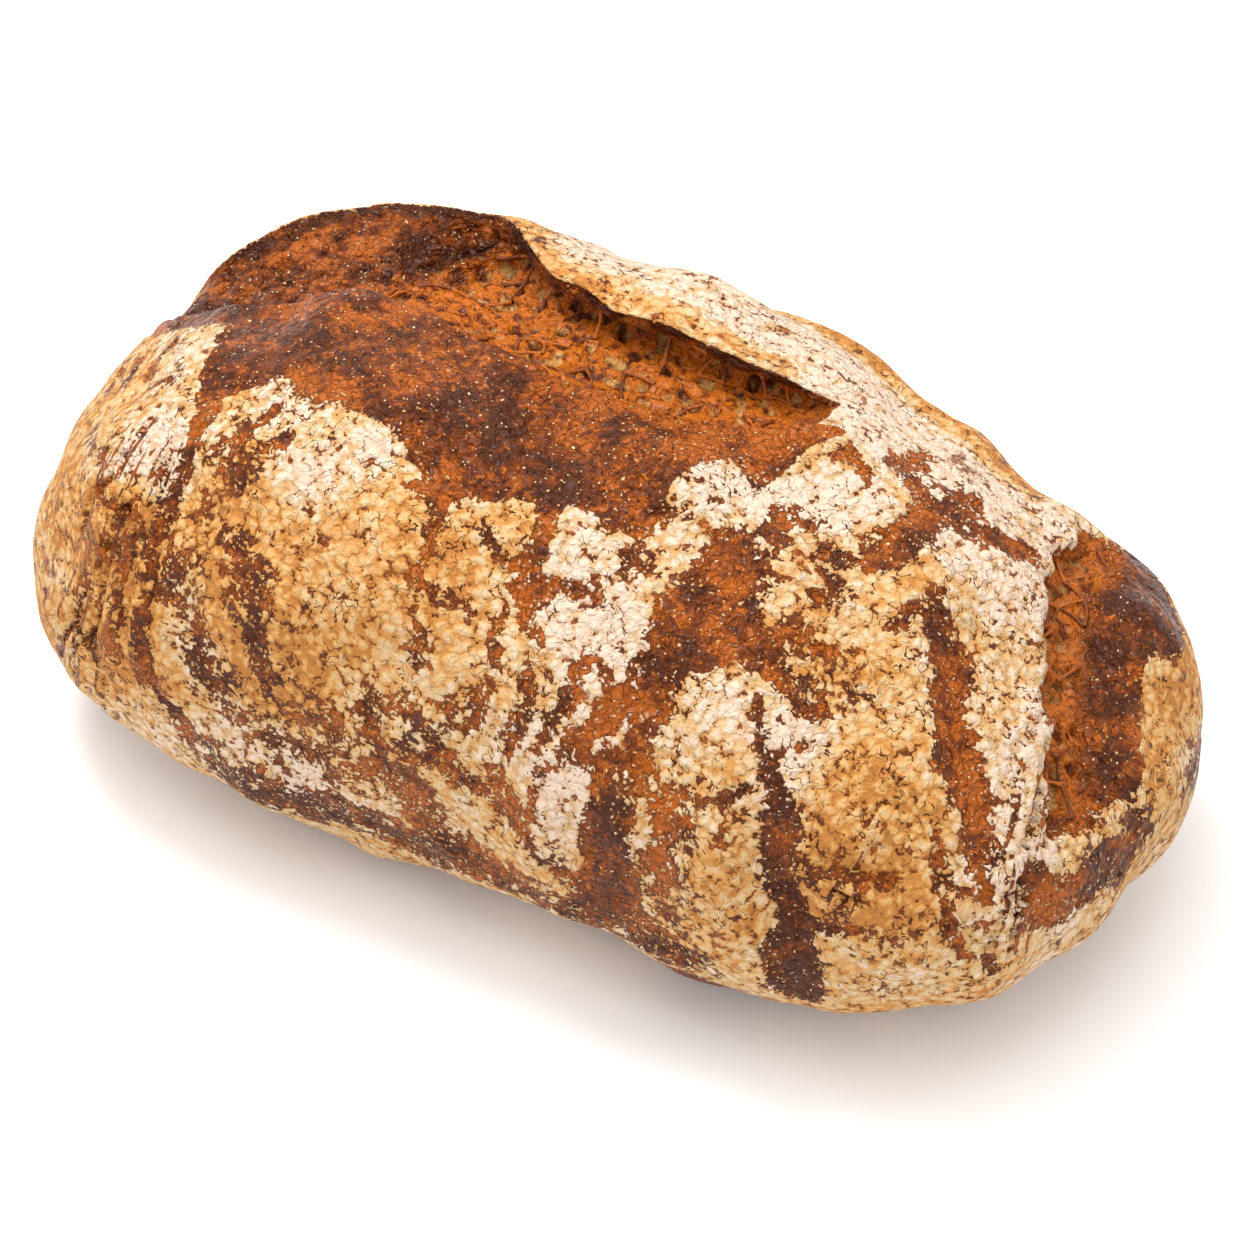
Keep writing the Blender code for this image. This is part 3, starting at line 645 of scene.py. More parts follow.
def flour_field(v, points):
    """Millimetres inside (+) or outside (-) the floured crust."""
    field = np.full(len(points), FLOUR_DEPTH)
    steady = points
    points = points + sum(wander(points, *pattern) for pattern in FLOUR_WANDERS)
    hidden = step(*THIN_BACK, v["girth"]) + step(*THIN_BELOW, v["girth"])
    field -= hidden * (THIN_AMOUNT[0] + THIN_AMOUNT[1] * noise(points, *THIN_PATCHES))
    for first, last, marks in BARE_STROKES:
        field = np.minimum(field, stroke_distance(points, marks, first, last))
    for first, last, marks in FLOUR_STROKES:
        field = np.maximum(field, -stroke_distance(points, marks, first, last))
    for cover, half_width, marks in MOTTLED_STROKES:
        share = MOTTLED_STRENGTH * bell(stroke_distance(points, marks) / (2 * half_width))
        field += share * (cover - field)
    in_front = (v["past_ear"] > v["before_near"]) & (v["in_slash"] == 0)
    bloom = (v["girth"] - along(BLOOM_EDGE, v["x"] / MM)) * BLOOM_SLOPE
    bloom += BLOOM_RAGGED * noise(steady, *BLOOM_PATCHES)
    return np.where(in_front, np.minimum(field, bloom), field)


def creases(points):
    """How deep in a fold's line each point is, from 0 to 1."""
    deepest = np.zeros(len(points))
    for marks in FOLD_LINES:
        distance = stroke_distance(points, [(x / MM, girth) for x, girth in marks])
        deepest = np.maximum(deepest, 1 - step(0.4, 1.6, distance))
    return deepest


def pleats(points):
    """Place across the pleats, in mm, along them, and how strong they are from 0 to 1."""
    across = np.zeros(len(points))
    run = np.zeros(len(points))
    strength = np.zeros(len(points))
    for half_width, share, marks in PLEATS:
        line = line_on_crust([(x * MM, girth) for x, girth in marks], BRUSH_STEPS)
        distance, side, place = line_distance(points, line)
        ends = step(0.0, PLEAT_ENDS[0], place) * (1 - step(PLEAT_ENDS[1], 1.0, place))
        there = share * bell(distance / MM / half_width) * ends
        nearer = there > strength
        across = np.where(nearer, distance * side / MM, across)
        run = np.where(nearer, place, run)
        strength = np.where(nearer, there, strength)
    return across, run, strength


def ring_places():
    """Places of the rings along the loaf, evenly spaced over its crust."""
    turns = np.linspace(-np.pi / 2, np.pi / 2, 4 * TURN_STEPS)
    x = HALF_LENGTH * np.sin(turns)
    steps = np.linalg.norm(np.diff(body(x, RING_GIRTH), axis=0), axis=1)
    reach = np.concatenate([[0.0], np.cumsum(steps)])
    count = round(reach[-1] / RING_SPACING)
    return np.interp(np.linspace(0.0, reach[-1], count + 1)[1:-1], reach, x)


def joined(rings):
    """Triangles between neighbouring rings, and fans at the two tips."""
    first = 2 + np.concatenate([[0], np.cumsum([len(keys) for keys in rings])])
    faces = []
    for row, (a, b) in enumerate(zip(rings[:-1], rings[1:])):
        middles = [(keys + np.append(keys[1:], 2.0)) / 2 for keys in (a, b)]
        order = np.argsort(np.concatenate(middles), kind="stable")
        on_b = np.repeat([False, True], [len(a), len(b)])[order]
        i = np.cumsum(~on_b) - ~on_b
        j = np.cumsum(on_b) - on_b
        third = np.where(on_b, first[row + 1] + (j + 1) % len(b), first[row] + (i + 1) % len(a))
        faces.append(np.stack([first[row] + i % len(a), first[row + 1] + j % len(b), third], axis=1))
    for tip, row, keys in ((0, 0, rings[0]), (1, len(rings) - 1, rings[-1])):
        ahead = first[row] + np.arange(len(keys))
        after = first[row] + (np.arange(len(keys)) + 1) % len(keys)
        fan = np.stack([np.full(len(keys), tip), ahead, after], axis=1)
        faces.append(fan if tip == 0 else fan[:, [0, 2, 1]])
    return np.concatenate(faces)


def mesh_normals(points, faces):
    a, b, c = (points[faces[:, i]] for i in range(3))
    face = np.cross(b - a, c - a)
    total = np.zeros_like(points)
    for i in range(3):
        np.add.at(total, faces[:, i], face)
    return total / np.maximum(np.linalg.norm(total, axis=1, keepdims=True), 1e-12)


def crust():
    """Points, faces and painted values of the baked loaf."""
    rings = [ring(x) for x in ring_places()]
    faces = joined([r["key"] for r in rings])
    names = (
        "smooth", "height", "girth", "x", "in_slash", "slash_share", "past_ear", "before_near", "openness",
    )
    tips = {name: np.zeros(2) for name in names}
    tips["smooth"] = body(np.array([-HALF_LENGTH, HALF_LENGTH]), np.zeros(2))
    tips["x"] = tips["smooth"][:, 0]
    tips["girth"] = np.full(2, 80.0)
    v = {name: np.concatenate([tips[name]] + [r[name] for r in rings]) for name in names}
    smooth = v["smooth"]
    out = outward(smooth)
    torn = smooth + sum(wander(smooth, *settings) for settings in TORN_WANDERS)
    end_height, end_across, end_share = end_slash_height(torn)
    height = v["height"] + swell_height(smooth) + furrow_height(smooth) + end_height
    height += LUMP_HEIGHT * waves(smooth, LUMP_LENGTH, LUMP_SEED + 1)
    points = smooth + out * height[:, None]

    field = flour_field(v, smooth)
    field += 0.7 * noise(points, 0.0052, 3) + 0.6 * noise(points, 0.0024, 4)
    ragged = 0.10 * noise(points, 0.006, 15) + 0.08 * noise(points, 0.0025, 16)
    crumb_end = along(CRUMB_SHARES, v["x"] / MM) + ragged
    crumb = v["in_slash"] * step(0.02, 0.20, v["slash_share"] + ragged)
    crumb *= 1 - step(0.0, 0.10, v["slash_share"] - crumb_end)
    past_lip = end_across / MM
    end_web = end_share * step(0.0, 2.0, past_lip) * (1 - step(*END_WEB_REACH, past_lip))
    end_bare = end_share * step(-1.0, 1.0, past_lip) * (1 - step(*END_BARE_REACH, past_lip))
    field = np.where(v["in_slash"] > IN_SLASH, -FLOUR_DEPTH, field)
    field -= end_bare * 3 * FLOUR_DEPTH
    flour = step(*FLOUR_EDGE, field) * (v["in_slash"] < IN_SLASH)

    popcorn = POPCORN_RISE * (0.45 - cells(points, POPCORN_SIZE, 5)) * flour
    pleat_across, pleat_run, pleat = pleats(smooth)
    pleat_place = np.stack([pleat_across * MM, pleat_run * FOLD_STRETCH, np.zeros(len(smooth))], axis=1)
    groove = pleat * (1 - step(*GROOVE_EDGE, np.abs(noise(pleat_place, FOLD_SIZE, FOLD_SEED))))
    folds = FOLD_RISE * pleat - FOLD_SINK * groove
    cave_x = (v["x"] - np.mean(CAVE_SPAN)) / np.ptp(CAVE_SPAN) * 2
    cave_f = (v["slash_share"] + 0.4 * ragged - np.mean(CAVE_SHARES)) / np.ptp(CAVE_SHARES) * 2
    cave = v["in_slash"] * bell(np.hypot(cave_x, cave_f)) * (v["slash_share"] < 1)
    pimples = sum(rise * noise(points, size, seed) for size, rise, seed in PIMPLES)
    warped = points + wander(points, 0.005, 0.0008, 11)
    hole = 1 - step(*HOLE_EDGE, cells(warped, HOLE_SIZE, 6))
    wall_start, wall_full, wall_fade, wall_end = WALL_SHARES
    wall = step(wall_start, wall_full, v["slash_share"]) * (1 - step(wall_fade, wall_end, v["slash_share"]))
    wall = v["in_slash"] * wall
    web = np.maximum(crumb, np.maximum(END_WEB_STRENGTH * end_web, WALL_STRENGTH * wall))
    holes = -HOLE_DEPTH * web * hole * (0.70 + 0.5 * noise(points, 0.008, 24)) - WEB_SINK * web
    mound = MOUND_RISE * noise(points, MOUND_SIZE, 10) * (1 - crumb)
    detail = FLOUR_THICKNESS * flour + popcorn + (1 - flour) * (1 - crumb) * pimples
    detail = detail + holes + mound + folds - CAVE_DEPTH * cave

    final = settle(points)
    normals = mesh_normals(final, faces)
    final = final + normals * (detail * step(0.0, RELIEF_START, final[:, 2]))[:, None]
    final[:, 2] = np.maximum(final[:, 2], 0.0)

    base = np.full(len(smooth), 0.45)
    toast = paint(base, TOAST_STROKES, smooth, 6)
    toast += 0.22 * noise(points, 0.016, 21) + 0.18 * noise(points, 0.006, 22)
    dark = paint(base, DARK_STROKES, smooth, 4) + 0.20 * noise(points, 0.012, 23)
    # The ear's rim under its lip: partly its own dark brown, partly painted shade cast by the lip
    rim = v["openness"] * v["in_slash"] * step(0.86, 0.97, v["slash_share"] + 0.6 * ragged)
    # Painted shade: the cave under the ear's arch is darkened as well as dented
    dark = dark + 0.35 * wall * hole + 1.1 * cave
    near_rim = v["openness"] * v["in_slash"] * (1 - step(0.06, 0.16, v["slash_share"])) * 0.4
    band_start, band_full, band_fade, band_end = END_BAND
    band = step(band_start, band_full, past_lip) * (1 - step(band_fade, band_end, past_lip))
    dark = dark + 0.5 * end_share * band
    # Painted shade: the ear's rim, the fold lines and the cave are darkened towards purple
    shade = 0.75 * rim * (0.7 + 0.6 * noise(points, 0.003, 25)) + 0.6 * creases(smooth) + 0.8 * cave
    values = {
        "flour": np.clip(field / FLOUR_RANGE + 0.5, 0.0, 1.0),
        "toast": np.clip(toast, 0.0, 1.0),
        "dark": np.clip(np.maximum(dark, np.maximum(rim, near_rim)), 0.0, 1.0),
        "crumb": np.clip(np.maximum(crumb, END_WEB_STRENGTH * end_web), 0.0, 1.0),
        "hollow": np.clip(web * hole, 0.0, 1.0),
        "shade": np.clip(shade, 0.0, 1.0),
        "under": step(UNDER_HEIGHT, 0.0, final[:, 2]),
        "pleat": pleat,
        "groove": groove,
        "pleat_across": pleat_across / PLEAT_RANGE,
        "pleat_run": pleat_run,
    }
    return final, faces, values, normals, np.maximum(crumb, end_web)


class Shade:
    """Short way to write a material's nodes."""

    def __init__(self, name):
        self.material = bpy.data.materials.new(name)
        self.material.use_nodes = True
        self.tree = self.material.node_tree
        self.shader = self.tree.nodes["Principled BSDF"]

    def node(self, kind, **settings):
        made = self.tree.nodes.new(kind)
        for key, value in settings.items():
            setattr(made, key, value)
        return made

    def put(self, target, value):
        if isinstance(value, bpy.types.NodeSocket):
            self.tree.links.new(value, target)
        else:
            target.default_value = value

    def math(self, operation, *values, clamp=False):
        made = self.node("ShaderNodeMath", operation=operation, use_clamp=clamp)
        for socket, value in zip(made.inputs, values):
            self.put(socket, value)
        return made.outputs[0]

    def ramp(self, value, low, high):
        made = self.node("ShaderNodeMapRange", interpolation_type="SMOOTHSTEP")
        for name, setting in (("Value", value), ("From Min", low), ("From Max", high)):
            self.put(made.inputs[name], setting)
        return made.outputs[0]

    def mix(self, share, first, second):
        made = self.node("ShaderNodeMix", data_type="RGBA")
        for index, value in ((0, share), (6, first), (7, second)):
            self.put(made.inputs[index], value)
        return made.outputs[2]

    def attribute(self, name):
        return self.node("ShaderNodeAttribute", attribute_name=name).outputs["Fac"]

    def place(self):
        """Object coordinates in millimetres."""
        coords = self.node("ShaderNodeTexCoord").outputs["Object"]
        made = self.node("ShaderNodeVectorMath", operation="SCALE")
        self.put(made.inputs[0], coords)
        self.put(made.inputs["Scale"], 1000.0)
        return made.outputs[0]

    def noise(self, place, size, detail=2.0, colour=False):
        made = self.node("ShaderNodeTexNoise")
        for name, value in (("Vector", place), ("Scale", 1 / size), ("Detail", detail)):
            self.put(made.inputs[name], value)
        return made.outputs["Color" if colour else "Fac"]

    def cells(self, place, size):
        made = self.node("ShaderNodeTexVoronoi", feature="F1")
        self.put(made.inputs["Vector"], place)
        self.put(made.inputs["Scale"], 1 / size)
        return made

    def shifted(self, place, wander, amount):
        """Place moved by a colour's distance from grey."""
        away = self.node("ShaderNodeVectorMath", operation="SUBTRACT")
        self.put(away.inputs[0], wander)
        self.put(away.inputs[1], (0.5, 0.5, 0.5))
        made = self.node("ShaderNodeVectorMath", operation="MULTIPLY_ADD")
        self.put(made.inputs[0], away.outputs[0])
        self.put(made.inputs[1], (amount, amount, amount))
        self.put(made.inputs[2], place)
        return made.outputs[0]


def colour(red, green, blue):
    """Linear colour of an sRGB one in 0 to 255."""
    shares = np.array([red, green, blue]) / 255
    linear = np.where(shares <= 0.04045, shares / 12.92, ((shares + 0.055) / 1.055) ** 2.4)
    return (*linear.tolist(), 1.0)


FLOUR_CREAM = colour(213, 178, 130)
FLOUR_WHITE = colour(223, 198, 175)
FLOUR_TOASTED = colour(213, 156, 88)
FLOUR_BURNT = colour(179, 112, 48)
CRUST_ORANGE = colour(168, 84, 19)
# Lighter orange of the painted highlight on the crust's curl ridges
CRUST_RIDGE_HIGHLIGHT = colour(192, 105, 32)
CRUST_BROWN = colour(110, 50, 13)
CRUST_PURPLE = colour(62, 27, 12)
SPECK = colour(240, 200, 148)
CRUMB_GOLD = colour(186, 98, 25)
CRUMB_TAN = colour(190, 138, 76)
CRUMB_DEEP = colour(92, 39, 10)


# Sizes of the crust's textures, in mm
SIZES = {
    "swirl": 3.0, "blotch": 9.0, "mask": 5.0, "patch": 2.4, "gaps": 3.4, "fine": 0.7, "stripe": 1.7,
    "flakes": 2.5, "small": 1.15, "seams": 2.6, "curl": 2.0, "ridge": 1.9,
}
SWIRL_REACH = 2.6
STRIPE_LENGTH = 6.0
# Where each smooth step of the material starts and ends
RAMPS = {
    "stripe": (0.54, 0.62), "sinks": (0.22, 0.38), "sunk cells": (0.74, 0.78), "pits": (0.28, 0.46),
    "seams": (0.006, 0.028), "broken": (0.40, 0.56), "cracks": (0.50, 0.57), "small cracks": (0.46, 0.62),
    "floured": (-0.10, 0.20), "ridge": (0.0, 0.075), "brown": (0.05, 0.55), "purple": (0.62, 1.15),
    "ridge_highlight": (0.42, 0.60), "spots": (0.18, 0.30), "spot cells": (0.60, 0.70), "spot places": (0.34, 0.50),
    "cream": (0.10, 0.50), "toasted": (0.42, 0.90), "burnt": (0.80, 1.0), "flake seams": (0.40, 0.66),
    "thin": (0.1, 0.7), "gold": (0.30, 0.52), "tan": (0.66, 0.85), "hole": (0.42, 0.60),
    "hollow": (0.25, 0.70), "rim": (-0.9, -0.1),
}
# How far each texture pushes the flour's edge: factor and start, in mm
FLAKE_BITE = (-2.5, 1.05)
FINE_BITE = (1.8, -0.9)
GAP_BITE = (4.6, -2.48)
MARK_BITE = -3.6
DUST_SPREAD = (4.2, -2.1)
DUST_SPOT = (-6.0, 2.2)
FLOUR_LIMIT = 1.9
GROOVE_SHARE = 0.40
# How far each texture darkens the bare crust and warms the flour: factor and start
BLOTCH_DARK = (2.6, -1.4)
PATCH_DARK = (2.2, -1.10)
CURL_DARK = (0.9, -0.45)
# The ridge terms paint a highlight: the curl ridges lighten the bare crust and take lighter orange
RIDGE_LIGHTENING = (-0.45, 0.10)
RIDGE_HIGHLIGHT_SHARE = (-0.45, 0.80)
PATCH_WARMTH = (0.9, -0.45)
FLAKE_WARMTH = (0.7, -0.28)
# Seams between flour flakes: partly the toasted flour's tan, partly painted shade, more where toasted
SEAM_SHADE_BY_TOAST = (0.30, 0.20)
# Shares of the colours laid over others
# The sink shares darken pits: partly their own dark colour, partly painted shade in them
SINK_SHADE_SHARE = 0.80
BURNT_SHARE = 0.7
CRACK_SHARE = 0.50
THIN_SHARE = 0.35
CRUMB_SINK_SHADE_SHARE = 0.6
# Share of the painted shadow laid on the bare crust just outside the flour's edge
FLOUR_EDGE_SHADOW_SHARE = 0.55
UNDER_SHARE = 0.55
FLOUR_ROUGHNESS = 0.46
FINE_ROUGHNESS = (0.24, 0.22)
CRUST_SHINE = 0.19
# Heights of the relief, in bump distances
FLAKE_RELIEF = (-0.80, 1.1)
FLOUR_RELIEF = (("fine", 0.40), ("small", -0.25), ("stripe", -0.35), ("small_cracks", -0.35))
CURL_RELIEF = 1.7
RIDGE_RELIEF = 0.40
CRUMB_RELIEF = (-0.6, 1.0)
SPOT_RELIEF = 0.20
SINK_RELIEF = -0.50
FLOUR_LIFT = 0.45
BUMP_DISTANCE = 0.0014


def crust_material():
    """Bare, speckled crust and open crumb under cracked and pitted flour."""
    s = Shade("rye_crust")
    place = s.place()
    names = ("flour", "toast", "dark", "crumb", "hollow", "shade", "under")
    names += ("pleat", "groove", "pleat_across", "pleat_run")
    given = {name: s.attribute(name) for name in names}
    toast, dark = given["toast"], given["dark"]

    def texture(name, where, detail):
        return s.noise(where, SIZES[name], detail)

    def ramp(name, value):
        return s.ramp(value, *RAMPS[name])

    def times(first, second):
        return s.math("MULTIPLY", first, second)

    def without(value):
        return s.math("SUBTRACT", 1.0, value)

    def scaled(value, settings):
        factor, start = settings
        return s.math("MULTIPLY_ADD", value, factor, start)

    def total(*values):
        added = values[0]
        for value in values[1:]:
            added = s.math("ADD", added, value)
        return added

    def from_middle(value):
        return s.math("ABSOLUTE", s.math("ADD", value, -0.5))

    swirl = s.noise(place, SIZES["swirl"], 1.0, colour=True)
    soft = s.shifted(place, swirl, SWIRL_REACH)
    blotch, mask = texture("blotch", place, 1.0), texture("mask", place, 1.0)
    patch, gaps = texture("patch", soft, 2.0), texture("gaps", soft, 2.0)
    fine = texture("fine", place, 2.0)

    along_pleats = s.node("ShaderNodeCombineXYZ")
    s.put(along_pleats.inputs[0], times(given["pleat_across"], PLEAT_RANGE))
    s.put(along_pleats.inputs[1], times(given["pleat_run"], STRIPE_LENGTH))
    stripe = times(ramp("stripe", texture("stripe", along_pleats.outputs[0], 1.0)), given["pleat"])
    stripe = s.math("MAXIMUM", stripe, times(given["groove"], GROOVE_SHARE))

    field = scaled(given["flour"], (FLOUR_RANGE, -FLOUR_RANGE / 2))
    flakes = s.cells(soft, SIZES["flakes"]).outputs["Distance"]
    small_flakes = s.cells(soft, SIZES["small"])
    small = small_flakes.outputs["Distance"]
    chosen = s.node("ShaderNodeSeparateColor")
    s.put(chosen.inputs[0], small_flakes.outputs["Color"])
    sinks = times(without(ramp("sinks", small)), ramp("sunk cells", chosen.outputs[2]))
    pits = times(sinks, ramp("pits", mask))
    edges = without(ramp("seams", from_middle(texture("seams", soft, 1.0))))
    broken = ramp("broken", patch)
    cracks = times(times(edges, ramp("cracks", blotch)), broken)
    small_cracks = times(times(edges, ramp("small cracks", mask)), broken)
    marks = s.math("MAXIMUM", s.math("MAXIMUM", pits, cracks), stripe)
    edge = total(
        s.math("MINIMUM", field, FLOUR_LIMIT), scaled(flakes, FLAKE_BITE), scaled(small, FLAKE_BITE),
        scaled(fine, FINE_BITE), scaled(gaps, GAP_BITE),
    )
    edge = s.math("MULTIPLY_ADD", marks, MARK_BITE, edge)
    dust = s.math("MULTIPLY_ADD", chosen.outputs[0], DUST_SPREAD[0], total(field, DUST_SPREAD[1]))
    dust = s.math("MINIMUM", dust, scaled(small, DUST_SPOT))
    floured = ramp("floured", s.math("MAXIMUM", edge, dust))

    curl = texture("curl", soft, 1.5)
    ridge = without(ramp("ridge", from_middle(texture("ridge", soft, 0.0))))
    deep = total(dark, scaled(blotch, BLOTCH_DARK), scaled(patch, PATCH_DARK), scaled(curl, CURL_DARK))
    # Painted highlight: the curl ridges lighten the bare crust
    deep = s.math("ADD", deep, scaled(ridge, RIDGE_LIGHTENING), clamp=True)
    crust_colour = s.mix(ramp("brown", deep), CRUST_ORANGE, CRUST_BROWN)
    crust_colour = s.mix(ramp("purple", deep), crust_colour, CRUST_PURPLE)
    # Painted highlight: lighter orange on the curl ridges, less on dark crust
    ridge_highlight = times(times(ridge, ramp("ridge_highlight", mask)), scaled(dark, RIDGE_HIGHLIGHT_SHARE))
    crust_colour = s.mix(ridge_highlight, crust_colour, CRUST_RIDGE_HIGHLIGHT)
    # Pits in the bare crust: partly their own dark colour, partly painted shade
    crust_colour = s.mix(times(sinks, SINK_SHADE_SHARE), crust_colour, CRUST_PURPLE)
    spots = times(without(ramp("spots", small)), ramp("spot cells", chosen.outputs[1]))
    spots = times(spots, ramp("spot places", gaps))
    crust_colour = s.mix(spots, crust_colour, SPECK)

    warmth = total(toast, scaled(patch, PATCH_WARMTH))
    warmth = s.math("ADD", warmth, scaled(flakes, FLAKE_WARMTH), clamp=True)
    flour_colour = s.mix(ramp("cream", warmth), FLOUR_WHITE, FLOUR_CREAM)
    flour_colour = s.mix(ramp("toasted", warmth), flour_colour, FLOUR_TOASTED)
    flour_colour = s.mix(times(ramp("burnt", warmth), BURNT_SHARE), flour_colour, FLOUR_BURNT)
    # Seams between flour flakes are browned: partly toasted flour, partly painted shade between flakes
    seam_shade = times(ramp("flake seams", flakes), scaled(toast, SEAM_SHADE_BY_TOAST))
    flour_colour = s.mix(seam_shade, flour_colour, FLOUR_BURNT)
    flour_colour = s.mix(times(small_cracks, CRACK_SHARE), flour_colour, CRUST_BROWN)
    flour_colour = s.mix(times(without(ramp("thin", edge)), THIN_SHARE), flour_colour, FLOUR_BURNT)

    web_colour = s.mix(ramp("gold", patch), CRUST_BROWN, CRUMB_GOLD)
    web_colour = s.mix(ramp("tan", patch), web_colour, CRUMB_TAN)
    hole_colour = s.mix(ramp("hole", mask), CRUMB_DEEP, CRUMB_TAN)
    crumb_colour = s.mix(ramp("hollow", given["hollow"]), web_colour, hole_colour)
    # Pits in the crumb: partly their own dark colour, partly painted shade
    crumb_colour = s.mix(times(sinks, CRUMB_SINK_SHADE_SHARE), crumb_colour, CRUMB_DEEP)
    bare = s.mix(given["crumb"], crust_colour, crumb_colour)
    bare = s.mix(given["shade"], bare, CRUST_PURPLE)
    # Painted shadow: the bare crust just outside the flour's edge is darkened towards purple
    bare = s.mix(times(ramp("rim", edge), FLOUR_EDGE_SHADOW_SHARE), bare, CRUST_PURPLE)
    base = s.mix(floured, bare, flour_colour)
    base = s.mix(times(given["under"], UNDER_SHARE), base, CRUST_BROWN)
    s.put(s.shader.inputs["Base Color"], base)

    rough = s.math("MULTIPLY_ADD", floured, FLOUR_ROUGHNESS, scaled(fine, FINE_ROUGHNESS))
    s.put(s.shader.inputs["Roughness"], rough)
    s.shader.inputs["Specular IOR Level"].default_value = CRUST_SHINE

    reliefs = {"fine": fine, "small": small, "stripe": stripe, "small_cracks": small_cracks}
    flour_top = scaled(flakes, FLAKE_RELIEF)
    for name, rise in FLOUR_RELIEF:
        flour_top = s.math("MULTIPLY_ADD", reliefs[name], rise, flour_top)
    crust_top = total(times(curl, CURL_RELIEF), times(ridge, RIDGE_RELIEF))
    crust_top = times(crust_top, scaled(given["crumb"], CRUMB_RELIEF))
    crust_top = s.math("MULTIPLY_ADD", spots, SPOT_RELIEF, crust_top)
    crust_top = s.math("MULTIPLY_ADD", sinks, SINK_RELIEF, crust_top)
    height = s.node("ShaderNodeMix", data_type="FLOAT")
    for index, value in ((0, floured), (2, crust_top), (3, total(flour_top, FLOUR_LIFT))):
        s.put(height.inputs[index], value)
    bump = s.node("ShaderNodeBump")
    s.put(bump.inputs["Height"], height.outputs[0])
    bump.inputs["Distance"].default_value = BUMP_DISTANCE
    s.put(s.shader.inputs["Normal"], bump.outputs[0])
    return s.material


# Net of torn dough on the open crumb, in metres
WEB_SPACING = (0.0052, 0.0090)
WEB_REACH = 0.0085
WEB_LINKS = 2
WEB_LIFT = (-0.0004, 0.0002)
WEB_SAG = (-0.0006, 0.0006)
WEB_SWAY = 0.05
WEB_RADIUS = (0.00026, 0.00046)
WEB_STEPS = 7
WEB_SIDES = 6
WEB_SEED = 19


def web_knots(points, places, draw):
    """Scattered places on the open crumb, none nearer to another than the web's spacing."""
    knots = np.zeros((0, 3))
    chosen = []
    for place in draw.permutation(places):
        gap = np.linalg.norm(knots - points[place], axis=1)
        if len(gap) == 0 or gap.min() > draw.uniform(*WEB_SPACING):
            knots = np.vstack([knots, points[place]])
            chosen.append(place)
    return np.array(chosen)


def web_thread(start, end, up, draw):
    """Rings of points round one thread, which is thickest where it joins the others."""
    t = np.linspace(0.0, 1.0, WEB_STEPS)
    arch = np.sin(np.pi * t)[:, None]
    run = end - start
    side = np.cross(run, up)
    sway = draw.normal(0.0, WEB_SWAY)
    path = start + run * t[:, None] + up * draw.uniform(*WEB_SAG) * arch + side * sway * arch
    radius = draw.uniform(*WEB_RADIUS) * (1.8 - arch[:, 0])
    ways = np.gradient(path, axis=0)
    ways /= np.linalg.norm(ways, axis=1, keepdims=True)
    across = np.cross(ways, up)
    across /= np.linalg.norm(across, axis=1, keepdims=True)
    over = np.cross(across, ways)
    turns = np.linspace(0.0, 2 * np.pi, WEB_SIDES + 1)[:-1]
    circle = np.cos(turns)[None, :, None] * across[:, None] + np.sin(turns)[None, :, None] * over[:, None]
    return (path[:, None] + circle * radius[:, None, None]).reshape(-1, 3)


def make_strands(points, normals, crumb, hollow):
    """Net of torn dough that spans the hollows of the open crumb."""
    draw = np.random.default_rng(WEB_SEED)
    places = np.flatnonzero((crumb > 0.5) & (hollow < 0.5))
    chosen = web_knots(points, places, draw)
    ups = normals[chosen]
    knots = points[chosen] + ups * draw.uniform(*WEB_LIFT, len(chosen))[:, None]
    links = set()
    for i, knot in enumerate(knots):
        gaps = np.linalg.norm(knots - knot, axis=1)
        for j in np.argsort(gaps)[1:WEB_LINKS + 1]:
            if gaps[j] < WEB_REACH:
                links.add((min(i, int(j)), max(i, int(j))))
    vertices, tones = [], []
    for i, j in sorted(links):
        up = ups[i] + ups[j]
        vertices.append(web_thread(knots[i], knots[j], up / np.linalg.norm(up), draw))
        tones.append(np.full(WEB_STEPS * WEB_SIDES, draw.uniform()))
    first = np.arange(len(vertices))[:, None, None] * WEB_STEPS * WEB_SIDES
    row = first + np.arange(WEB_STEPS - 1)[None, :, None] * WEB_SIDES
    column = np.arange(WEB_SIDES)[None, None, :]
    after = (column + 1) % WEB_SIDES
    corners = (row + column, row + after, row + WEB_SIDES + after, row + WEB_SIDES + column)
    faces = np.stack(corners, axis=-1).reshape(-1, 4)
    mesh = bpy.data.meshes.new("crumb_strands")
    mesh.from_pydata(np.concatenate(vertices).tolist(), [], faces.tolist())
    tone = mesh.attributes.new("tone", "FLOAT", "POINT")
    tone.data.foreach_set("value", np.concatenate(tones).astype(np.float32))
    mesh.shade_smooth()
    mesh.materials.append(strand_material())
    strands = bpy.data.objects.new("crumb_strands", mesh)
    bpy.context.scene.collection.objects.link(strands)
    return strands


# Texture sizes of the torn dough in mm, its colour, roughness, shine and relief
STRAND_PATCH = 1.2
STRAND_GRAIN = 0.4
STRAND_TONE = (1.2, -0.6)
STRAND_RAMP = (0.1, 0.9)
STRAND_ROUGHNESS = (0.3, 0.35)
STRAND_SHINE = 0.35
STRAND_BUMP = 0.0003


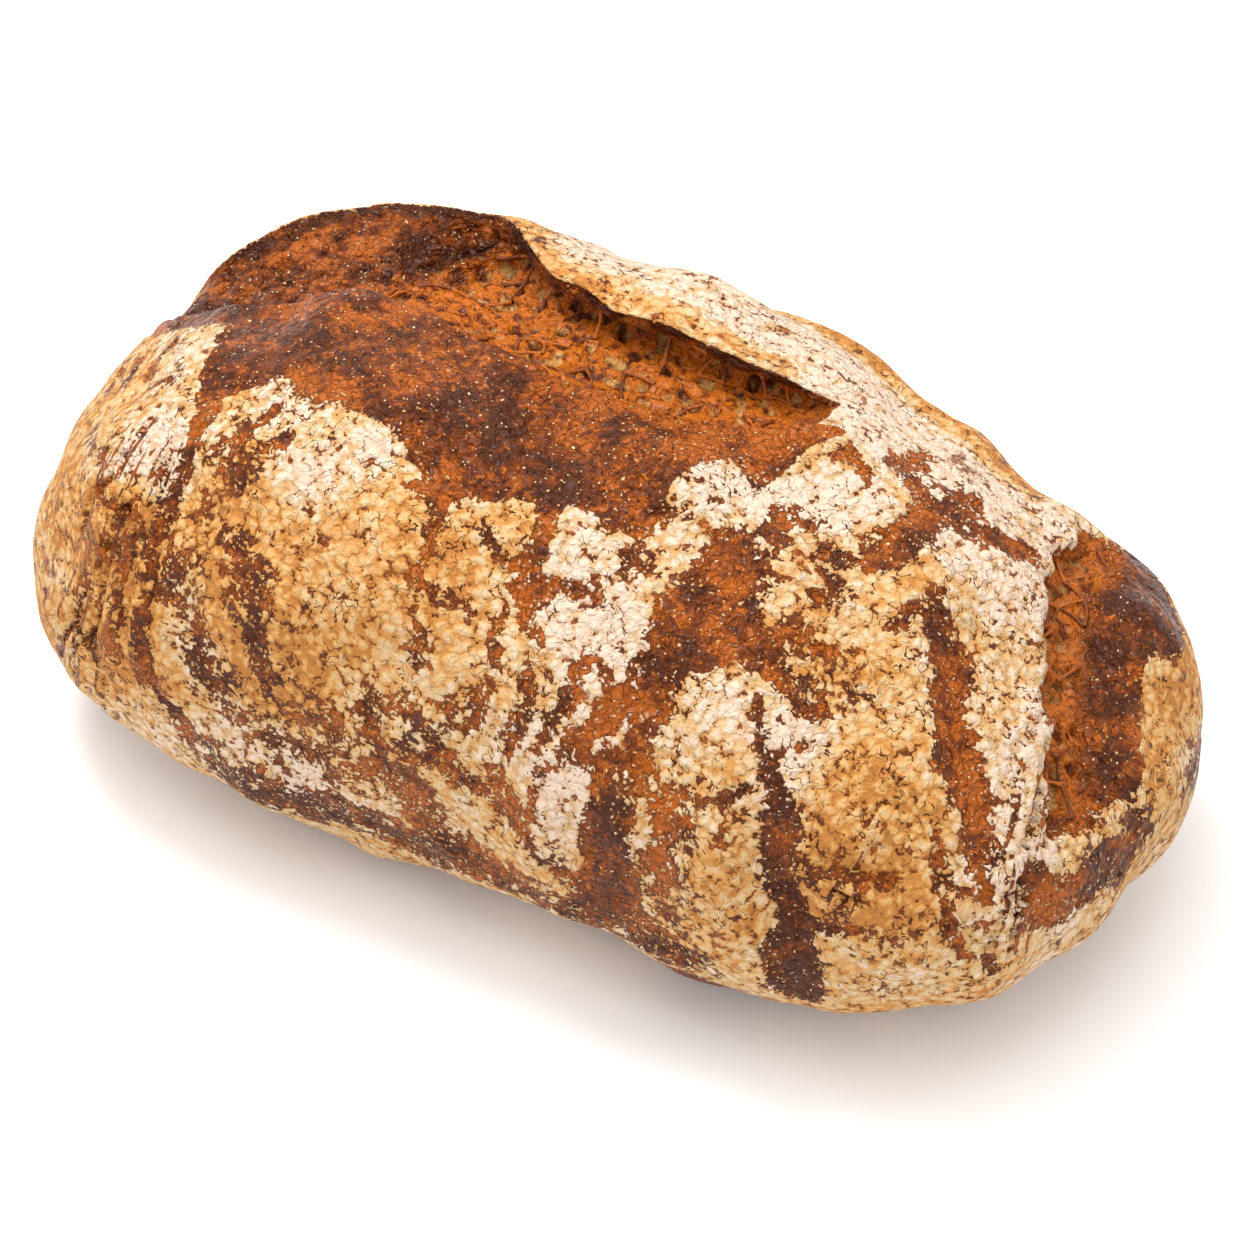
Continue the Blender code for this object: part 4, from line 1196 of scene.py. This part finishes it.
def strand_material():
    """Torn dough, from dark brown to gold by each thread's tone."""
    s = Shade("crumb_strands")
    place = s.place()
    tone = s.attribute("tone")
    patch = s.noise(place, STRAND_PATCH, 2.0)
    share = s.math("ADD", tone, s.math("MULTIPLY_ADD", patch, *STRAND_TONE), clamp=True)
    base = s.mix(s.ramp(share, *STRAND_RAMP), CRUST_BROWN, CRUMB_GOLD)
    s.put(s.shader.inputs["Base Color"], base)
    s.put(s.shader.inputs["Roughness"], s.math("MULTIPLY_ADD", patch, *STRAND_ROUGHNESS))
    s.shader.inputs["Specular IOR Level"].default_value = STRAND_SHINE
    bump = s.node("ShaderNodeBump")
    s.put(bump.inputs["Height"], s.noise(place, STRAND_GRAIN, 2.0))
    bump.inputs["Distance"].default_value = STRAND_BUMP
    s.put(s.shader.inputs["Normal"], bump.outputs[0])
    return s.material


def make_crust(points, faces, values):
    mesh = bpy.data.meshes.new("baked_crust")
    mesh.from_pydata(points.tolist(), [], faces.tolist())
    for name, value in values.items():
        attribute = mesh.attributes.new(name, "FLOAT", "POINT")
        attribute.data.foreach_set("value", value.astype(np.float32))
    mesh.shade_smooth()
    mesh.materials.append(crust_material())
    loaf = bpy.data.objects.new("baked_crust", mesh)
    bpy.context.scene.collection.objects.link(loaf)
    return loaf


def plain_material(name, shade, roughness):
    material = bpy.data.materials.new(name)
    material.use_nodes = True
    shader = material.node_tree.nodes["Principled BSDF"]
    shader.inputs["Base Color"].default_value = (shade, shade, shade, 1.0)
    shader.inputs["Roughness"].default_value = roughness
    return material


FLOOR_HALF = 3.0
FLOOR_SHADE = 1.0


def make_floor():
    mesh = bpy.data.meshes.new("floor")
    corners = [(-FLOOR_HALF, -FLOOR_HALF, 0.0), (FLOOR_HALF, -FLOOR_HALF, 0.0),
               (FLOOR_HALF, FLOOR_HALF, 0.0), (-FLOOR_HALF, FLOOR_HALF, 0.0)]
    mesh.from_pydata(corners, [], [(0, 1, 2, 3)])
    mesh.materials.append(plain_material("floor", FLOOR_SHADE, 0.9))
    floor = bpy.data.objects.new("floor", mesh)
    bpy.context.scene.collection.objects.link(floor)
    return floor


CAMERA_AZIMUTH = 29.8
CAMERA_ELEVATION = 47.0
CAMERA_DISTANCE = 0.95
CAMERA_LENS = 114.03
CAMERA_TARGET = Vector((0.0, 0.0012, 0.0435))
CAMERA_DROP = 0.00454
CAMERA_RIGHT = 0.00024


def make_camera():
    """The photo's view: from above the loaf's front right."""
    azimuth, elevation = np.radians([CAMERA_AZIMUTH, CAMERA_ELEVATION])
    level_back = Vector((np.sin(azimuth), -np.cos(azimuth), 0.0))
    back = level_back * np.cos(elevation) + Vector((0.0, 0.0, np.sin(elevation)))
    right = Vector((np.cos(azimuth), np.sin(azimuth), 0.0))
    up = back.cross(right)
    aim = CAMERA_TARGET - up * CAMERA_DROP + right * CAMERA_RIGHT
    data = bpy.data.cameras.new("camera")
    data.lens = CAMERA_LENS
    camera = bpy.data.objects.new("camera", data)
    camera.location = CAMERA_TARGET + back * CAMERA_DISTANCE
    camera.rotation_euler = (aim - camera.location).to_track_quat("-Z", "Y").to_euler()
    bpy.context.scene.collection.objects.link(camera)
    bpy.context.scene.camera = camera


LIGHTS = (
    ("softbox", (-0.12, 0.04, 1.10), 1.0, 5.6),
    ("key", (-0.38, 0.14, 1.00), 0.36, 5.6),
)
WORLD_STRENGTH = 0.98


def make_lights():
    for name, place, size, watts in LIGHTS:
        data = bpy.data.lights.new(name, "AREA")
        data.size = size
        data.energy = watts
        lamp = bpy.data.objects.new(name, data)
        lamp.location = place
        lamp.rotation_euler = (-Vector(place)).to_track_quat("-Z", "Y").to_euler()
        bpy.context.scene.collection.objects.link(lamp)
    world = bpy.data.worlds.new("studio")
    bpy.context.scene.world = world
    world.use_nodes = True
    background = world.node_tree.nodes["Background"]
    background.inputs["Color"].default_value = (1.0, 1.0, 1.0, 1.0)
    background.inputs["Strength"].default_value = WORLD_STRENGTH


crust_points, crust_faces, crust_values, crust_normals, crumb_share = crust()
pieces = [
    make_crust(crust_points, crust_faces, crust_values),
    make_strands(crust_points, crust_normals, crumb_share, crust_values["hollow"]),
]
for piece in pieces:
    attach(piece, "root")
    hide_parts("rye_loaf")
make_floor()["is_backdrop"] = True
make_camera()
make_lights()
bpy.context.scene.view_settings.view_transform = "Standard"

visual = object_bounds()
boxes = {"cad": CAD_BOX, "visual": visual}
{name: [list(corner) for corner in box] for name, box in boxes.items()}
